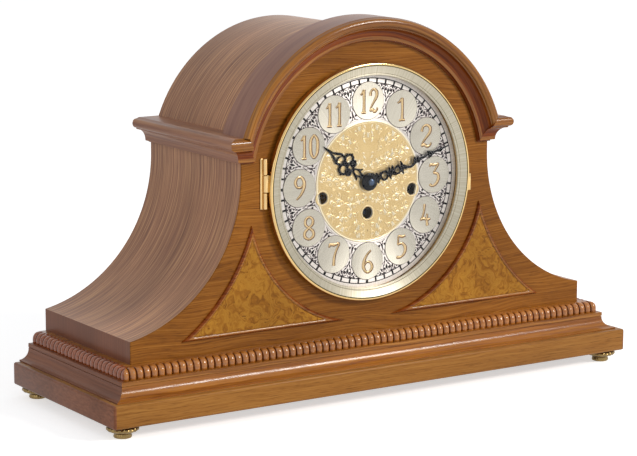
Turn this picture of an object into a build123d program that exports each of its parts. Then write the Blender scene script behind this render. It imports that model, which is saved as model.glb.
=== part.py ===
from build123d import *
import os
from math import atan2, cos, degrees, hypot, pi, radians, sin, sqrt

os.makedirs("parts", exist_ok=True)

# A tambour mantel clock with three winding holes, standing on four brass feet.
# Row frame: +X to the right seen from the front, the dial faces -Y, +Z is up, feet rest at zero.
# Every length is in millimetres.

# Plinth and feet
plinth_width = 445.0
plinth_depth = 155.0
plinth_height = 16.5
plinth_edge_radius = 1.6
foot_height = 9.0
foot_collar_radius = 11.5
foot_collar_height = 4.4
foot_stem_radius = 6.5
foot_inset = 13.0
foot_spigot_radius = 3.0
foot_spigot_length = 8.0

# Cove moulding, rope moulding and base board
cove_setback = 5.0
cove_lip = 1.0
cove_reach = 7.6
cove_rise = 9.2
cove_bead = 2.4
cove_height = 12.5
cove_width = 26.0
back_rail_thickness = 14.0
rope_radius = 6.0
rope_groove_depth = 1.15
rope_pitch = 5.6
board_thickness = 8.0

# Case outline
case_setback = 25.5
case_half_width = 196.0
foot_block_height = 16.0
flare_radius = 110.0
waist_half_width = 107.0
waist_rise = 8.0
skin_thickness = 6.0
panel_thickness = 8.0
glue_line = 0.1

# Capital and arch mouldings
capital_height = 19.0
capital_projection = 15.0
arch_drop = 18.5
arch_projection = 12.0
arch_outer_reach = 9.0
arch_inner_reach = 8.5
arch_side_depth = 20.0
joint_height_share = 0.42

# Raised corner panels with their moulded border
spandrel_radius = 140.0
spandrel_centre_x = 233.0
spandrel_centre_rise = 128.0
spandrel_inner_radius = 101.5
spandrel_bottom_rise = 11.0
bead_width = 2.8
bead_height = 2.5
burl_thickness = 2.2

# Dial
dial_drop = 3.0
dial_radius = 78.4
dial_thickness = 1.0
dial_recess = 1.0
medallion_radius = 44.4
medallion_thickness = 0.4
disc_radius = 13.6
disc_ring_radius = 58.5
disc_thickness = 0.5
dial_gap = 0.3
pan_wall = 1.0
pan_ledge = 5.5
pan_flange_radius = 85.0
pan_flange_thickness = 1.2
centre_hole_radius = 5.4
winding_hole_radius = 4.4
winding_rim_radius = 5.8
winding_rim_height = 0.6
winding_side_x = 39.0
winding_side_drop = 9.0
winding_middle_drop = 23.0

# Bezel door
bezel_radius = 86.5
bezel_depth = 4.5
bezel_clearance = 0.35
bezel_sight_radius = 77.0
bezel_lip = 0.5
bezel_rebate = 2.3
bezel_nose = 1.4
glass_thickness = 1.2
glass_crown = 6.0
glass_seat = 0.45
hinge_pin_radius = 0.8
hinge_knuckle_radius = 1.6
hinge_length = 36.0
hinge_lift = 6.0
hinge_leaf_width = 3.4
hinge_leaf_thickness = 0.8
hinge_axis_gap = 1.9
catch_height = 13.0
catch_reach = 2.2
catch_drop = 7.0
running_gap = 0.05
moving_gap = 0.35

# Hands
hour_hand_length = 48.0
minute_hand_length = 73.0
hand_thickness = 0.6
hour_hand_clearance = 0.5
hand_spacing = 0.8
hour_hub_radius = 5.0
minute_hub_radius = 6.6
minute_hub_height = 1.4
nut_radius = 2.5
nut_height = 2.6
minutes_shown = 12.2
hours_shown = 10

# Movement
plate_half_width = 66.0
plate_top = 39.0
plate_bottom = 46.0
plate_thickness = 2.0
plate_corner_radius = 5.0
plate_spacing = 30.0
motion_space = 14.0
pillar_radius = 3.0
upper_pillar_x = 59.0
upper_pillar_z = 33.0
lower_pillar_x = 27.0
lower_pillar_z = 40.0
strap_height = 10.0
strap_thickness = 1.6
strap_half_length = 92.0
strap_top = 34.0
strap_bottom = 40.0
strap_post_radius = 4.0
wheel_thickness = 1.6
pinion_length = 3.2
pivot_radius = 1.1
arbor_radius = 1.6
hour_pipe_wall = 1.0
barrel_radius = 16.2
barrel_length = 21.0
winding_arbor_radius = 2.4
winding_square = 3.4
winding_square_end = 3.5
end_shake = 0.4

# Gear trains
great_teeth = 56
centre_leaves = 8
side_great_teeth = 48
side_wheel_teeth = 24
cannon_leaves = 12
motion_teeth = 36
motion_leaves = 12
hour_teeth = 48
motion_distance = 15.0
motion_direction = 20.0
centre_teeth = 48
third_leaves = 8
third_teeth = 48
escape_leaves = 8
escape_teeth = 15
escape_radius = 8.5
third_x = 13.0
third_z = 14.0
escape_x = 2.0
escape_z = 29.5
side_wheel_x = 56.0
side_wheel_z = 12.0
tooth_addendum = 0.62
tooth_dedendum = 1.05
tooth_root_share = 0.27
tooth_tip_share = 0.11

# Chime drum, hammers and rods
drum_radius = 6.4
pin_radius = 0.6
pin_height = 1.5
hammer_count = 4
hammer_spacing = 5.0
hammer_arbor_x = 62.0
hammer_arbor_drop = 38.0
hammer_hub_radius = 2.8
hammer_hub_length = 3.6
hammer_arm_width = 2.4
hammer_arm_thickness = 1.2
hammer_head_x = 30.0
hammer_head_radius = 2.2
hammer_head_length = 14.0
hammer_gap = 1.6
hammer_tail_x = 59.0
hammer_tail_rise = 3.8
rod_radius = 1.2
rod_level = 18.0
rod_longest = 225.0
rod_step = 12.0
rod_block_x = 50.0
rod_block_length = 15.0
rod_block_height = 26.0
rod_block_margin = 6.0
rod_seat_share = 0.58

# Floating balance
balance_y = 13.0
balance_drop = 26.0
balance_radius = 10.0
balance_rim = 1.6
balance_rim_height = 2.2
balance_spoke = 1.4
balance_hub_radius = 1.6
balance_hub_height = 9.0
balance_wire_radius = 0.5
bracket_width = 9.0
bracket_thickness = 1.6
bracket_height = 26.0
bracket_reach = 4.0

# Back frame and door
back_recess = 4.2
back_thickness = 6.0
door_stile = 25.0
door_sill = 20.0
door_head = 10.0
door_clearance = 0.8
door_hinge_length = 24.0
door_hinge_share = 0.32
door_leaf_width = 9.0
door_knob_radius = 5.0
door_knob_height = 3.4
door_knob_inset = 12.0

# Overruns that let a cut pass through
overrun = 4.0

# Levels
plinth_top = foot_height + plinth_height
ledge_level = plinth_top + cove_height
board_top = ledge_level + board_thickness
plinth_half = plinth_width / 2
plinth_front = -plinth_depth / 2
plinth_back = plinth_depth / 2
case_front = plinth_front + case_setback
panel_back = case_front + panel_thickness
case_back = plinth_back
block_top = board_top + foot_block_height
flare_x = waist_half_width + flare_radius
flare_z = block_top + sqrt(flare_radius**2 - (flare_x - case_half_width) ** 2)
capital_bottom = flare_z + waist_rise
capital_top = capital_bottom + capital_height
hood_joint = capital_bottom + capital_height * joint_height_share
arch_z = capital_bottom - arch_drop
dial_z = arch_z - dial_drop
hood_radius = waist_half_width
arch_outer_radius = hood_radius + arch_outer_reach
arch_inner_radius = hood_radius - arch_inner_reach

# Depths of the dial and movement, measured along Y
dial_face = case_front + dial_recess
dial_back = dial_face + dial_thickness
bezel_back = case_front - pan_flange_thickness - bezel_clearance
bezel_front = bezel_back - bezel_depth
plate_front = dial_back + motion_space
plate_rear = plate_front + plate_thickness + plate_spacing
movement_back = plate_rear + plate_thickness
inner_front = plate_front + plate_thickness


def front_plane(y, x=0.0, z=0.0, angle=0.0):
    """A plane facing the front at depth y, turned clockwise by angle degrees."""
    turn = radians(angle)
    return Plane(origin=(x, y, z), x_dir=(cos(turn), 0, -sin(turn)), z_dir=(0, -1, 0))


def save(piece, label):
    piece.part.label = label
    export_step(piece.part, f"parts/{label}.step")


def scaled(shares, length):
    """Points given as shares of a length."""
    return [(across * length, along * length) for across, along in shares]


def mirrored(points):
    """The same points and their mirror images, as one closed outline."""
    return points + [(-across, along) for across, along in reversed(points)]


# Plinth: one board with eased edges and blind holes for the feet
foot_places = [
    (side * (plinth_half - foot_inset), face * (plinth_back - foot_inset))
    for side in (-1, 1)
    for face in (-1, 1)
]
with BuildPart() as plinth:
    with Locations((0, 0, foot_height)):
        Box(plinth_width, plinth_depth, plinth_height, align=(Align.CENTER, Align.CENTER, Align.MIN))
    fillet(plinth.edges().filter_by(Axis.Z, reverse=True), plinth_edge_radius)
    with BuildSketch(Plane.XY.offset(foot_height)):
        with Locations(*foot_places):
            Circle(foot_spigot_radius + running_gap)
    extrude(amount=foot_spigot_length + running_gap, mode=Mode.SUBTRACT)
save(plinth, "plinth")

# Turned brass feet with a wide collar and a spigot up into the plinth
foot_neck_radius_share = 0.8
foot_toe_share = 0.85
foot_edge_share = 0.35
with BuildPart() as feet:
    with BuildSketch(Plane.XZ):
        with BuildLine():
            foot_line = Polyline(
                (0, 0),
                (foot_stem_radius * foot_toe_share, 0),
                (foot_stem_radius, foot_stem_radius * (1 - foot_toe_share)),
                (foot_stem_radius, foot_height - foot_collar_height),
                (foot_collar_radius * foot_neck_radius_share, foot_height - foot_collar_height),
            )
            collar_line = Polyline(
                foot_line @ 1,
                (foot_collar_radius, foot_height - foot_collar_height * (1 - foot_edge_share)),
                (foot_collar_radius, foot_height - foot_collar_height * foot_edge_share),
                (foot_collar_radius * foot_neck_radius_share, foot_height),
            )
            Polyline(
                collar_line @ 1,
                (foot_spigot_radius, foot_height),
                (foot_spigot_radius, foot_height + foot_spigot_length),
                (0, foot_height + foot_spigot_length),
                (0, 0),
            )
        make_face()
    revolve(axis=Axis.Z)
one_foot = feet.part
with BuildPart() as feet:
    with Locations(*[(x, y, 0) for x, y in foot_places]):
        add(one_foot)
save(feet, "feet")


# Cove and rope mouldings run along the front and both sides and are mitred at the corners
def mitre_region(run):
    """Plan outline of the front run or of one side run, with its mitred ends."""
    reach = cove_setback + cove_width + overrun
    inner_x = plinth_half - reach
    inner_y = plinth_front + reach
    if run == "front":
        return [
            (-plinth_half, plinth_front),
            (plinth_half, plinth_front),
            (inner_x, inner_y),
            (-inner_x, inner_y),
        ]
    side = -1 if run == "left" else 1
    return [
        (side * plinth_half, plinth_front),
        (side * inner_x, inner_y),
        (side * inner_x, plinth_back),
        (side * plinth_half, plinth_back),
    ]


def run_plane(run):
    """Plane across a run: local x goes in from the plinth edge, local y goes up."""
    if run == "front":
        return Plane(origin=(0, plinth_front, 0), x_dir=(0, 1, 0), z_dir=(1, 0, 0))
    side = -1 if run == "left" else 1
    return Plane(origin=(side * plinth_half, 0, 0), x_dir=(-side, 0, 0), z_dir=(0, side, 0))


cove_top_in = cove_setback + cove_reach
rope_centre_in = cove_top_in + cove_bead + rope_radius
cove_curve_share = 0.72
bead_round_share = 1.5
for run in ("front", "left", "right"):
    with BuildPart() as cove:
        with BuildSketch(run_plane(run)):
            with BuildLine():
                lip = Line((cove_setback, plinth_top), (cove_setback, plinth_top + cove_lip))
                hollow = ThreePointArc(
                    lip @ 1,
                    (
                        cove_setback + cove_reach * cove_curve_share,
                        plinth_top + cove_lip + (cove_rise - cove_lip) * (1 - cove_curve_share),
                    ),
                    (cove_top_in, plinth_top + cove_rise),
                )
                bead = RadiusArc(
                    hollow @ 1, (cove_top_in + cove_bead, ledge_level), cove_bead * bead_round_share
                )
                Polyline(
                    bead @ 1,
                    (cove_setback + cove_width, ledge_level),
                    (cove_setback + cove_width, plinth_top),
                    lip @ 0,
                )
            make_face()
        extrude(amount=plinth_half, both=True)
        with BuildSketch(Plane.XY.offset(plinth_top)):
            Polygon(*mitre_region(run), align=None)
        extrude(amount=cove_height, mode=Mode.INTERSECT)
    save(cove, f"base_cove_{run}")

# Rope moulding: a quarter round turned into lobes by grooves at a steady pitch
rope_crown_share = 0.30


def rope_outline(length):
    """Half section of the lobed roll along its own axis, from its centre line outwards."""
    count = max(2, round(length / rope_pitch))
    pitch = length / count
    points = [(0, 0)]
    for lobe in range(count):
        start = lobe * pitch
        points += [
            (start, rope_radius - rope_groove_depth),
            (start + pitch * rope_crown_share, rope_radius),
            (start + pitch * (1 - rope_crown_share), rope_radius),
        ]
    points += [(length, rope_radius - rope_groove_depth), (length, 0)]
    return points


rope_x = plinth_half - rope_centre_in
rope_y = plinth_front + rope_centre_in
for run in ("front", "left", "right"):
    side = {"front": 0, "left": -1, "right": 1}[run]
    front_length = 2 * (rope_x + rope_radius)
    side_length = plinth_back - rope_y + rope_radius
    if run == "front":
        rope_plane = Plane(
            origin=(-front_length / 2, rope_y, ledge_level), x_dir=(1, 0, 0), z_dir=(0, -1, 0)
        )
        rope_axis = Axis((0, rope_y, ledge_level), (1, 0, 0))
        rope_length = front_length
    else:
        rope_plane = Plane(
            origin=(side * rope_x, rope_y - rope_radius, ledge_level), x_dir=(0, 1, 0), z_dir=(side, 0, 0)
        )
        rope_axis = Axis((side * rope_x, 0, ledge_level), (0, 1, 0))
        rope_length = side_length
    with BuildPart() as rope:
        with BuildSketch(rope_plane):
            Polygon(*rope_outline(rope_length), align=None)
        revolve(axis=rope_axis)
        with BuildSketch(Plane.XY.offset(ledge_level)):
            Polygon(*mitre_region(run), align=None)
        extrude(amount=rope_radius, mode=Mode.INTERSECT)
        with BuildSketch(Plane.XY.offset(ledge_level)):
            if run == "front":
                with Locations((0, rope_y)):
                    Rectangle(plinth_width, plinth_depth, align=(Align.CENTER, Align.MIN))
            else:
                with Locations((side * rope_x, 0)):
                    Rectangle(
                        plinth_width,
                        plinth_depth * 2,
                        align=(Align.MAX if side == 1 else Align.MIN, Align.CENTER),
                    )
        extrude(amount=rope_radius, mode=Mode.SUBTRACT)
    save(rope, f"rope_moulding_{run}")

# Plain rail that closes the base at the back, between the two side runs
back_rail_half = plinth_half - cove_setback - cove_width
with BuildPart() as base_back_rail:
    with BuildSketch(Plane.XY.offset(plinth_top)):
        with Locations((0, plinth_back)):
            Rectangle(2 * back_rail_half, back_rail_thickness, align=(Align.CENTER, Align.MAX))
    extrude(amount=cove_height)
save(base_back_rail, "base_back_rail")

# Base board that closes the case below, its edge showing as a thin fillet above the rope
with BuildPart() as base_board:
    with BuildSketch(Plane.XY.offset(ledge_level)):
        with Locations((0, plinth_back)):
            Rectangle(2 * rope_x, plinth_back - rope_y, align=(Align.CENTER, Align.MAX))
    extrude(amount=board_thickness)
save(base_board, "base_board")


# Case outline: straight foot block, concave flare, short waist and round hood
def flare_half(inset):
    """Height where the flare meets the foot block, for a surface this far inside the outside."""
    return flare_z - sqrt((flare_radius + inset) ** 2 - (flare_x - case_half_width + inset) ** 2)


def side_curve(inset, side, top):
    """Edge points of one side from the board up: foot, flare start, flare middle, waist, top."""
    radius = flare_radius + inset
    start_z = flare_half(inset)
    start_turn = atan2(flare_z - start_z, flare_x - case_half_width + inset)
    middle = start_turn / 2
    return [
        (side * (case_half_width - inset), board_top),
        (side * (case_half_width - inset), start_z),
        (side * (flare_x - radius * cos(middle)), flare_z - radius * sin(middle)),
        (side * (waist_half_width - inset), flare_z),
        (side * (waist_half_width - inset), top),
    ]


def half_chord(radius, level):
    """Half the width of a circle about the arch centre at a level."""
    return sqrt(radius**2 - (level - arch_z) ** 2)


def case_face(inset, bottom):
    """Sketch of the whole front outline of the case, inset from the outside."""
    radius = hood_radius - inset
    left = side_curve(inset, -1, hood_joint)
    right = side_curve(inset, 1, hood_joint)
    shoulder = half_chord(radius, hood_joint)
    with BuildSketch(Plane.XY) as face:
        with BuildLine():
            Line((left[0][0], bottom), (right[0][0], bottom))
            Line((right[0][0], bottom), right[1])
            ThreePointArc(right[1], right[2], right[3])
            Line(right[3], right[4])
            Line(right[4], (shoulder, hood_joint))
            ThreePointArc((shoulder, hood_joint), (0, arch_z + radius), (-shoulder, hood_joint))
            Line((-shoulder, hood_joint), left[4])
            Line(left[4], left[3])
            ThreePointArc(left[3], left[2], left[1])
            Line(left[1], (left[0][0], bottom))
        make_face()
    return face.sketch


# Outline of one raised corner panel, shrunk by an inset: tip, outer corner, inner corner
spandrel_centre_z = board_top + spandrel_centre_rise


def spandrel_points(inset):
    """Corners and arc middles of the right-hand panel, inset from the border's outer edge."""
    outer = spandrel_radius + inset
    inner = spandrel_inner_radius + inset
    bottom = board_top + spandrel_bottom_rise + inset
    across = spandrel_centre_x
    rise = spandrel_centre_z - dial_z
    span = hypot(across, rise)
    along = (inner**2 - outer**2 + span**2) / (2 * span)
    off = sqrt(inner**2 - along**2)
    tip = (
        (across * along + rise * off) / span,
        dial_z + (rise * along - across * off) / span,
    )
    outer_corner = (across - sqrt(outer**2 - (spandrel_centre_z - bottom) ** 2), bottom)
    inner_corner = (sqrt(inner**2 - (dial_z - bottom) ** 2), bottom)
    outer_turn = (
        atan2(spandrel_centre_z - tip[1], across - tip[0])
        + atan2(spandrel_centre_z - bottom, across - outer_corner[0])
    ) / 2
    inner_turn = (atan2(dial_z - tip[1], tip[0]) + atan2(dial_z - bottom, inner_corner[0])) / 2
    outer_middle = (across - outer * cos(outer_turn), spandrel_centre_z - outer * sin(outer_turn))
    inner_middle = (inner * cos(inner_turn), dial_z - inner * sin(inner_turn))
    return tip, outer_middle, outer_corner, inner_corner, inner_middle


def spandrel_face(inset, side):
    """Sketch of one corner panel on a plane that faces the front."""
    tip, outer_middle, outer_corner, inner_corner, inner_middle = [
        (side * x, z) for x, z in spandrel_points(inset)
    ]
    with BuildSketch(Plane.XY) as face:
        with BuildLine():
            ThreePointArc(tip, outer_middle, outer_corner)
            Line(outer_corner, inner_corner)
            ThreePointArc(inner_corner, inner_middle, tip)
        make_face()
    return face.sketch


# Front panel with the dial hole
pan_radius = dial_radius + dial_gap + pan_wall
panel_hole_radius = pan_radius + dial_gap
with BuildPart() as front_panel:
    with BuildSketch(front_plane(panel_back)):
        add(case_face(0, board_top))
    extrude(amount=panel_thickness)
    with BuildSketch(front_plane(panel_back + overrun, 0, dial_z)):
        Circle(panel_hole_radius)
    extrude(amount=panel_thickness + 2 * overrun, mode=Mode.SUBTRACT)
save(front_panel, "front_panel")

# Burl panels glued on the face, each in a border that swells up from its outer edge
border_shares = [(0, 0), (0.10, 0.55), (0.32, 0.90), (0.60, 1.0)]
with BuildPart() as burl_panel_right:
    with BuildSketch(front_plane(case_front)):
        add(spandrel_face(bead_width + glue_line, 1))
    extrude(amount=burl_thickness)

with BuildPart() as burl_bead_right:
    for across, up in border_shares:
        with BuildSketch(front_plane(case_front - up * bead_height)):
            add(spandrel_face(across * bead_width, 1))
    loft(ruled=True)
    with BuildSketch(front_plane(case_front + overrun)):
        add(spandrel_face(bead_width, 1))
    extrude(amount=bead_height + 2 * overrun, mode=Mode.SUBTRACT)

for right_piece, name in ((burl_panel_right, "burl_panel"), (burl_bead_right, "burl_bead")):
    with BuildPart() as left_piece:
        mirror(right_piece.part, about=Plane.YZ)
    save(right_piece, f"{name}_right")
    save(left_piece, f"{name}_left")

# Bent plywood sides from the board up to the joint behind the capital
for side, hand in ((-1, "left"), (1, "right")):
    outside = side_curve(0, side, hood_joint)
    inside = side_curve(skin_thickness, side, hood_joint)
    with BuildPart() as skin:
        with BuildSketch(front_plane(case_back)):
            with BuildLine():
                Line(outside[0], outside[1])
                ThreePointArc(outside[1], outside[2], outside[3])
                Polyline(outside[3], outside[4], inside[4], inside[3])
                ThreePointArc(inside[3], inside[2], inside[1])
                Polyline(inside[1], inside[0], outside[0])
            make_face()
        extrude(amount=case_back - panel_back)
    save(skin, f"side_{hand}")

# Bent plywood hood seated on the sides
with BuildPart() as hood:
    with BuildSketch(front_plane(case_back, 0, arch_z)):
        Circle(hood_radius)
        Circle(hood_radius - skin_thickness, mode=Mode.SUBTRACT)
        with Locations((0, hood_joint - arch_z)):
            Rectangle(4 * hood_radius, 4 * hood_radius, align=(Align.CENTER, Align.MAX), mode=Mode.SUBTRACT)
    extrude(amount=case_back - panel_back)
save(hood, "hood")

# One moulding section serves the arch and the capitals: shares of height and of projection
fillet_shares = [(0.0, 0.0), (0.0, 0.10), (0.06, 0.10), (0.06, 0.28), (0.20, 0.30)]
cove_middle_share = (0.42, 0.44)
cove_end_share = (0.54, 0.78)
step_shares = [(0.60, 0.80)]
nose_middle_share = (0.77, 1.0)
nose_end_share = (0.95, 0.80)
crown_shares = [(1.0, 0.62)]


def moulding_points(along, out):
    """The section's points, as sizes: fillets, cove middle and end, step, nose middle and end, crown."""
    place = lambda share: (share[0] * along, share[1] * out)
    return (
        [place(share) for share in fillet_shares],
        place(cove_middle_share),
        place(cove_end_share),
        [place(share) for share in step_shares],
        place(nose_middle_share),
        place(nose_end_share),
        [place(share) for share in crown_shares],
    )


def moulding_face(along, out, closing, to_sketch):
    """Sketch of the moulding section, closed by the given points; to_sketch maps (along, out)."""
    fillets, cove_mid, cove_end, steps, nose_mid, nose_end, crowns = moulding_points(along, out)
    with BuildSketch(Plane.XY) as face:
        with BuildLine():
            Polyline(*[to_sketch(point) for point in fillets])
            ThreePointArc(to_sketch(fillets[-1]), to_sketch(cove_mid), to_sketch(cove_end))
            Polyline(*[to_sketch(point) for point in [cove_end] + steps])
            ThreePointArc(to_sketch(steps[-1]), to_sketch(nose_mid), to_sketch(nose_end))
            Polyline(*([to_sketch(point) for point in [nose_end] + crowns] + closing))
        make_face()
    return face.sketch


# Arch moulding over the front corner of the hood, mitred into the capitals at its feet
arch_width = arch_outer_radius - arch_inner_radius
mitre_foot_x = half_chord(arch_inner_radius, capital_bottom)
arch_back = panel_back + arch_side_depth - panel_thickness
mitre_slope_x = (hood_radius - mitre_foot_x) / capital_height
far = 2 * hood_radius
mitre_low = (mitre_foot_x - overrun * mitre_slope_x, capital_bottom - overrun)
mitre_high = (hood_radius, capital_top)
with BuildPart() as arch_moulding:
    with BuildSketch(Plane.XY.offset(arch_z)):
        add(
            moulding_face(
                arch_width,
                arch_projection,
                [
                    (arch_outer_radius, arch_back),
                    (hood_radius + glue_line, arch_back),
                    (hood_radius + glue_line, case_front),
                    (arch_inner_radius, case_front),
                ],
                lambda point: (arch_inner_radius + point[0], case_front - point[1]),
            )
        )
    revolve(axis=Axis((0, 0, arch_z), (0, 1, 0)), revolution_arc=-180)
    with BuildSketch(front_plane(arch_back + overrun)):
        Polygon(
            mitre_low,
            mitre_high,
            (far, capital_top),
            (far, arch_z + far),
            (-far, arch_z + far),
            (-far, capital_top),
            (-mitre_high[0], mitre_high[1]),
            (-mitre_low[0], mitre_low[1]),
            align=None,
        )
    extrude(amount=arch_back - case_front + arch_projection + 2 * overrun, mode=Mode.INTERSECT)
    with BuildSketch(front_plane(arch_back + overrun)):
        with Locations((0, capital_top)):
            Rectangle(2 * far, far, align=(Align.CENTER, Align.MAX))
    extrude(amount=arch_back + overrun - case_front, mode=Mode.SUBTRACT)
save(arch_moulding, "arch_moulding")

# Capitals: a run along each side and a short return across the front, mitred at the corner
for side, hand in ((-1, "left"), (1, "right")):
    corner = (side * waist_half_width, case_front)
    nose_corner = (side * (waist_half_width + capital_projection), case_front - arch_projection)
    beyond = (
        corner[0] + 2 * (nose_corner[0] - corner[0]),
        corner[1] + 2 * (nose_corner[1] - corner[1]),
    )
    with BuildPart() as capital_run:
        with BuildSketch(front_plane(case_back)):
            add(
                moulding_face(
                    capital_height,
                    capital_projection,
                    [
                        (side * half_chord(hood_radius, capital_top), capital_top),
                        (side * half_chord(hood_radius, capital_top), hood_joint),
                        (side * waist_half_width, hood_joint),
                        (side * waist_half_width, capital_bottom),
                    ],
                    lambda point: (side * (waist_half_width + point[1]), capital_bottom + point[0]),
                )
            )
        extrude(amount=case_back - case_front + arch_projection)
        with BuildSketch(front_plane(case_back + overrun, 0, arch_z)):
            Circle(hood_radius + glue_line)
        extrude(amount=plinth_depth + 2 * overrun, mode=Mode.SUBTRACT)
        with BuildSketch(Plane.XY.offset(capital_bottom)):
            Polygon(corner, beyond, (0, beyond[1]), (0, corner[1]), align=None)
        extrude(amount=capital_height, mode=Mode.SUBTRACT)
    with BuildPart() as capital_return:
        with BuildSketch(Plane(origin=(0, 0, 0), x_dir=(0, 1, 0), z_dir=(1, 0, 0))):
            add(
                moulding_face(
                    capital_height,
                    arch_projection,
                    [(case_front, capital_top), (case_front, capital_bottom)],
                    lambda point: (case_front - point[1], capital_bottom + point[0]),
                )
            )
        extrude(amount=side * (waist_half_width + capital_projection))
        with BuildSketch(Plane.XY.offset(capital_bottom)):
            Polygon(corner, beyond, (0, beyond[1]), (0, corner[1]), align=None)
        extrude(amount=capital_height, mode=Mode.INTERSECT)
        with BuildSketch(front_plane(case_front)):
            Polygon(
                (0, capital_bottom - overrun),
                (side * mitre_low[0], mitre_low[1]),
                (side * mitre_high[0], mitre_high[1]),
                (side * (mitre_high[0] + overrun * mitre_slope_x), mitre_high[1] + overrun),
                (0, capital_top + overrun),
                align=None,
            )
        extrude(amount=arch_projection + overrun, mode=Mode.SUBTRACT)
    with BuildPart() as capital:
        add(capital_run.part)
        add(capital_return.part)
    save(capital, f"capital_{hand}")

# Dial pan: a flanged ring set in the panel hole, with a ledge that carries the dial
pan_back = dial_back + pan_wall
with BuildPart() as dial_pan:
    with BuildSketch(Plane.XY.offset(dial_z)):
        Polygon(
            (dial_radius + dial_gap, case_front - pan_flange_thickness),
            (pan_flange_radius, case_front - pan_flange_thickness),
            (pan_flange_radius, case_front),
            (pan_radius, case_front),
            (pan_radius, pan_back),
            (dial_radius - pan_ledge, pan_back),
            (dial_radius - pan_ledge, dial_back),
            (dial_radius + dial_gap, dial_back),
            align=None,
        )
    revolve(axis=Axis((0, 0, dial_z), (0, 1, 0)))
save(dial_pan, "dial_pan")

# Dial plate, gilt medallion, twelve hour discs and the rims of the winding holes
winding_places = [
    (-winding_side_x, -winding_side_drop),
    (0, -winding_middle_drop),
    (winding_side_x, -winding_side_drop),
]
with BuildPart() as dial_plate:
    with BuildSketch(front_plane(dial_back, 0, dial_z)):
        Circle(dial_radius)
        Circle(centre_hole_radius, mode=Mode.SUBTRACT)
        with Locations(*winding_places):
            Circle(winding_hole_radius, mode=Mode.SUBTRACT)
    extrude(amount=dial_thickness)
save(dial_plate, "dial_plate")

with BuildPart() as dial_medallion:
    with BuildSketch(front_plane(dial_face, 0, dial_z)):
        Circle(medallion_radius)
        Circle(centre_hole_radius, mode=Mode.SUBTRACT)
        with Locations(*winding_places):
            Circle(winding_rim_radius + glue_line, mode=Mode.SUBTRACT)
    extrude(amount=medallion_thickness)
save(dial_medallion, "dial_medallion")

with BuildPart() as hour_discs:
    with BuildSketch(front_plane(dial_face, 0, dial_z)):
        with PolarLocations(disc_ring_radius, 12):
            Circle(disc_radius)
    extrude(amount=disc_thickness)
save(hour_discs, "hour_discs")

with BuildPart() as winding_rims:
    with BuildSketch(front_plane(dial_face, 0, dial_z)):
        with Locations(*winding_places):
            Circle(winding_rim_radius)
            Circle(winding_hole_radius, mode=Mode.SUBTRACT)
    extrude(amount=winding_rim_height)
save(winding_rims, "winding_rims")

# Bezel door: a ring with a sloped sight face, a rebate for the glass, a thumb catch and a hinge leaf
rebate_radius = bezel_sight_radius + bezel_rebate
glass_radius = rebate_radius - glue_line * 2
glass_back = bezel_back - glass_seat
glass_edge_front = glass_back - glass_thickness + bezel_lip / 2
glass_rise = glass_crown * (1 - (bezel_sight_radius / glass_radius) ** 2)
rebate_front = glass_edge_front - glass_rise - glue_line
slope_front = rebate_front - bezel_lip
catch_width = catch_reach + bezel_nose
hinge_x = -(bezel_radius + hinge_axis_gap)
hinge_y = case_front - hinge_knuckle_radius
hinge_z = dial_z + hinge_lift
knuckle = hinge_length / 3
leaf_front = hinge_y - hinge_knuckle_radius
with BuildPart() as bezel_fittings:
    with BuildSketch(Plane.XY.offset(dial_z - catch_drop - catch_height / 2)):
        with Locations((bezel_radius + catch_reach, bezel_back)):
            Rectangle(catch_width, bezel_depth - bezel_nose, align=(Align.MAX, Align.MAX))
    extrude(amount=catch_height)
    with BuildSketch(Plane.XY.offset(hinge_z - knuckle / 2)):
        with Locations((hinge_x, hinge_y)):
            Circle(hinge_knuckle_radius)
        with Locations((hinge_x, leaf_front)):
            Rectangle(
                hinge_axis_gap + bezel_nose, hinge_leaf_thickness, align=(Align.MIN, Align.MIN)
            )
        with Locations((hinge_x, hinge_y)):
            Circle(hinge_pin_radius + running_gap, mode=Mode.SUBTRACT)
    extrude(amount=knuckle)
    with BuildSketch(front_plane(case_front, 0, dial_z)):
        Circle(bezel_radius - bezel_nose)
    extrude(amount=bezel_depth * 2, mode=Mode.SUBTRACT)
with BuildPart() as bezel_ring:
    with BuildSketch(Plane.XY.offset(dial_z)):
        with BuildLine():
            flank = Line((bezel_radius, bezel_back), (bezel_radius, bezel_front + bezel_nose))
            nose = RadiusArc(flank @ 1, (bezel_radius - bezel_nose, bezel_front), bezel_nose)
            Polyline(
                nose @ 1,
                (bezel_sight_radius, slope_front),
                (bezel_sight_radius, rebate_front),
                (rebate_radius, rebate_front),
                (rebate_radius, bezel_back),
                flank @ 0,
            )
        make_face()
    revolve(axis=Axis((0, 0, dial_z), (0, 1, 0)))
    add(bezel_fittings.part)
save(bezel_ring, "bezel_ring")

# Domed glass seated in the rebate
crown_front = glass_edge_front - glass_crown
with BuildPart() as bezel_glass:
    with BuildSketch(Plane.XY.offset(dial_z)):
        with BuildLine():
            ThreePointArc(
                (-glass_radius, glass_edge_front), (0, crown_front), (glass_radius, glass_edge_front)
            )
            Line((glass_radius, glass_edge_front), (glass_radius, glass_back))
            ThreePointArc(
                (glass_radius, glass_back), (0, crown_front + glass_thickness), (-glass_radius, glass_back)
            )
            Line((-glass_radius, glass_back), (-glass_radius, glass_edge_front))
        make_face()
        with Locations((0, crown_front)):
            Rectangle(
                2 * glass_radius, 4 * glass_crown, align=(Align.MAX, Align.CENTER), mode=Mode.SUBTRACT
            )
    revolve(axis=Axis((0, 0, dial_z), (0, 1, 0)))
save(bezel_glass, "bezel_glass")

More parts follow.
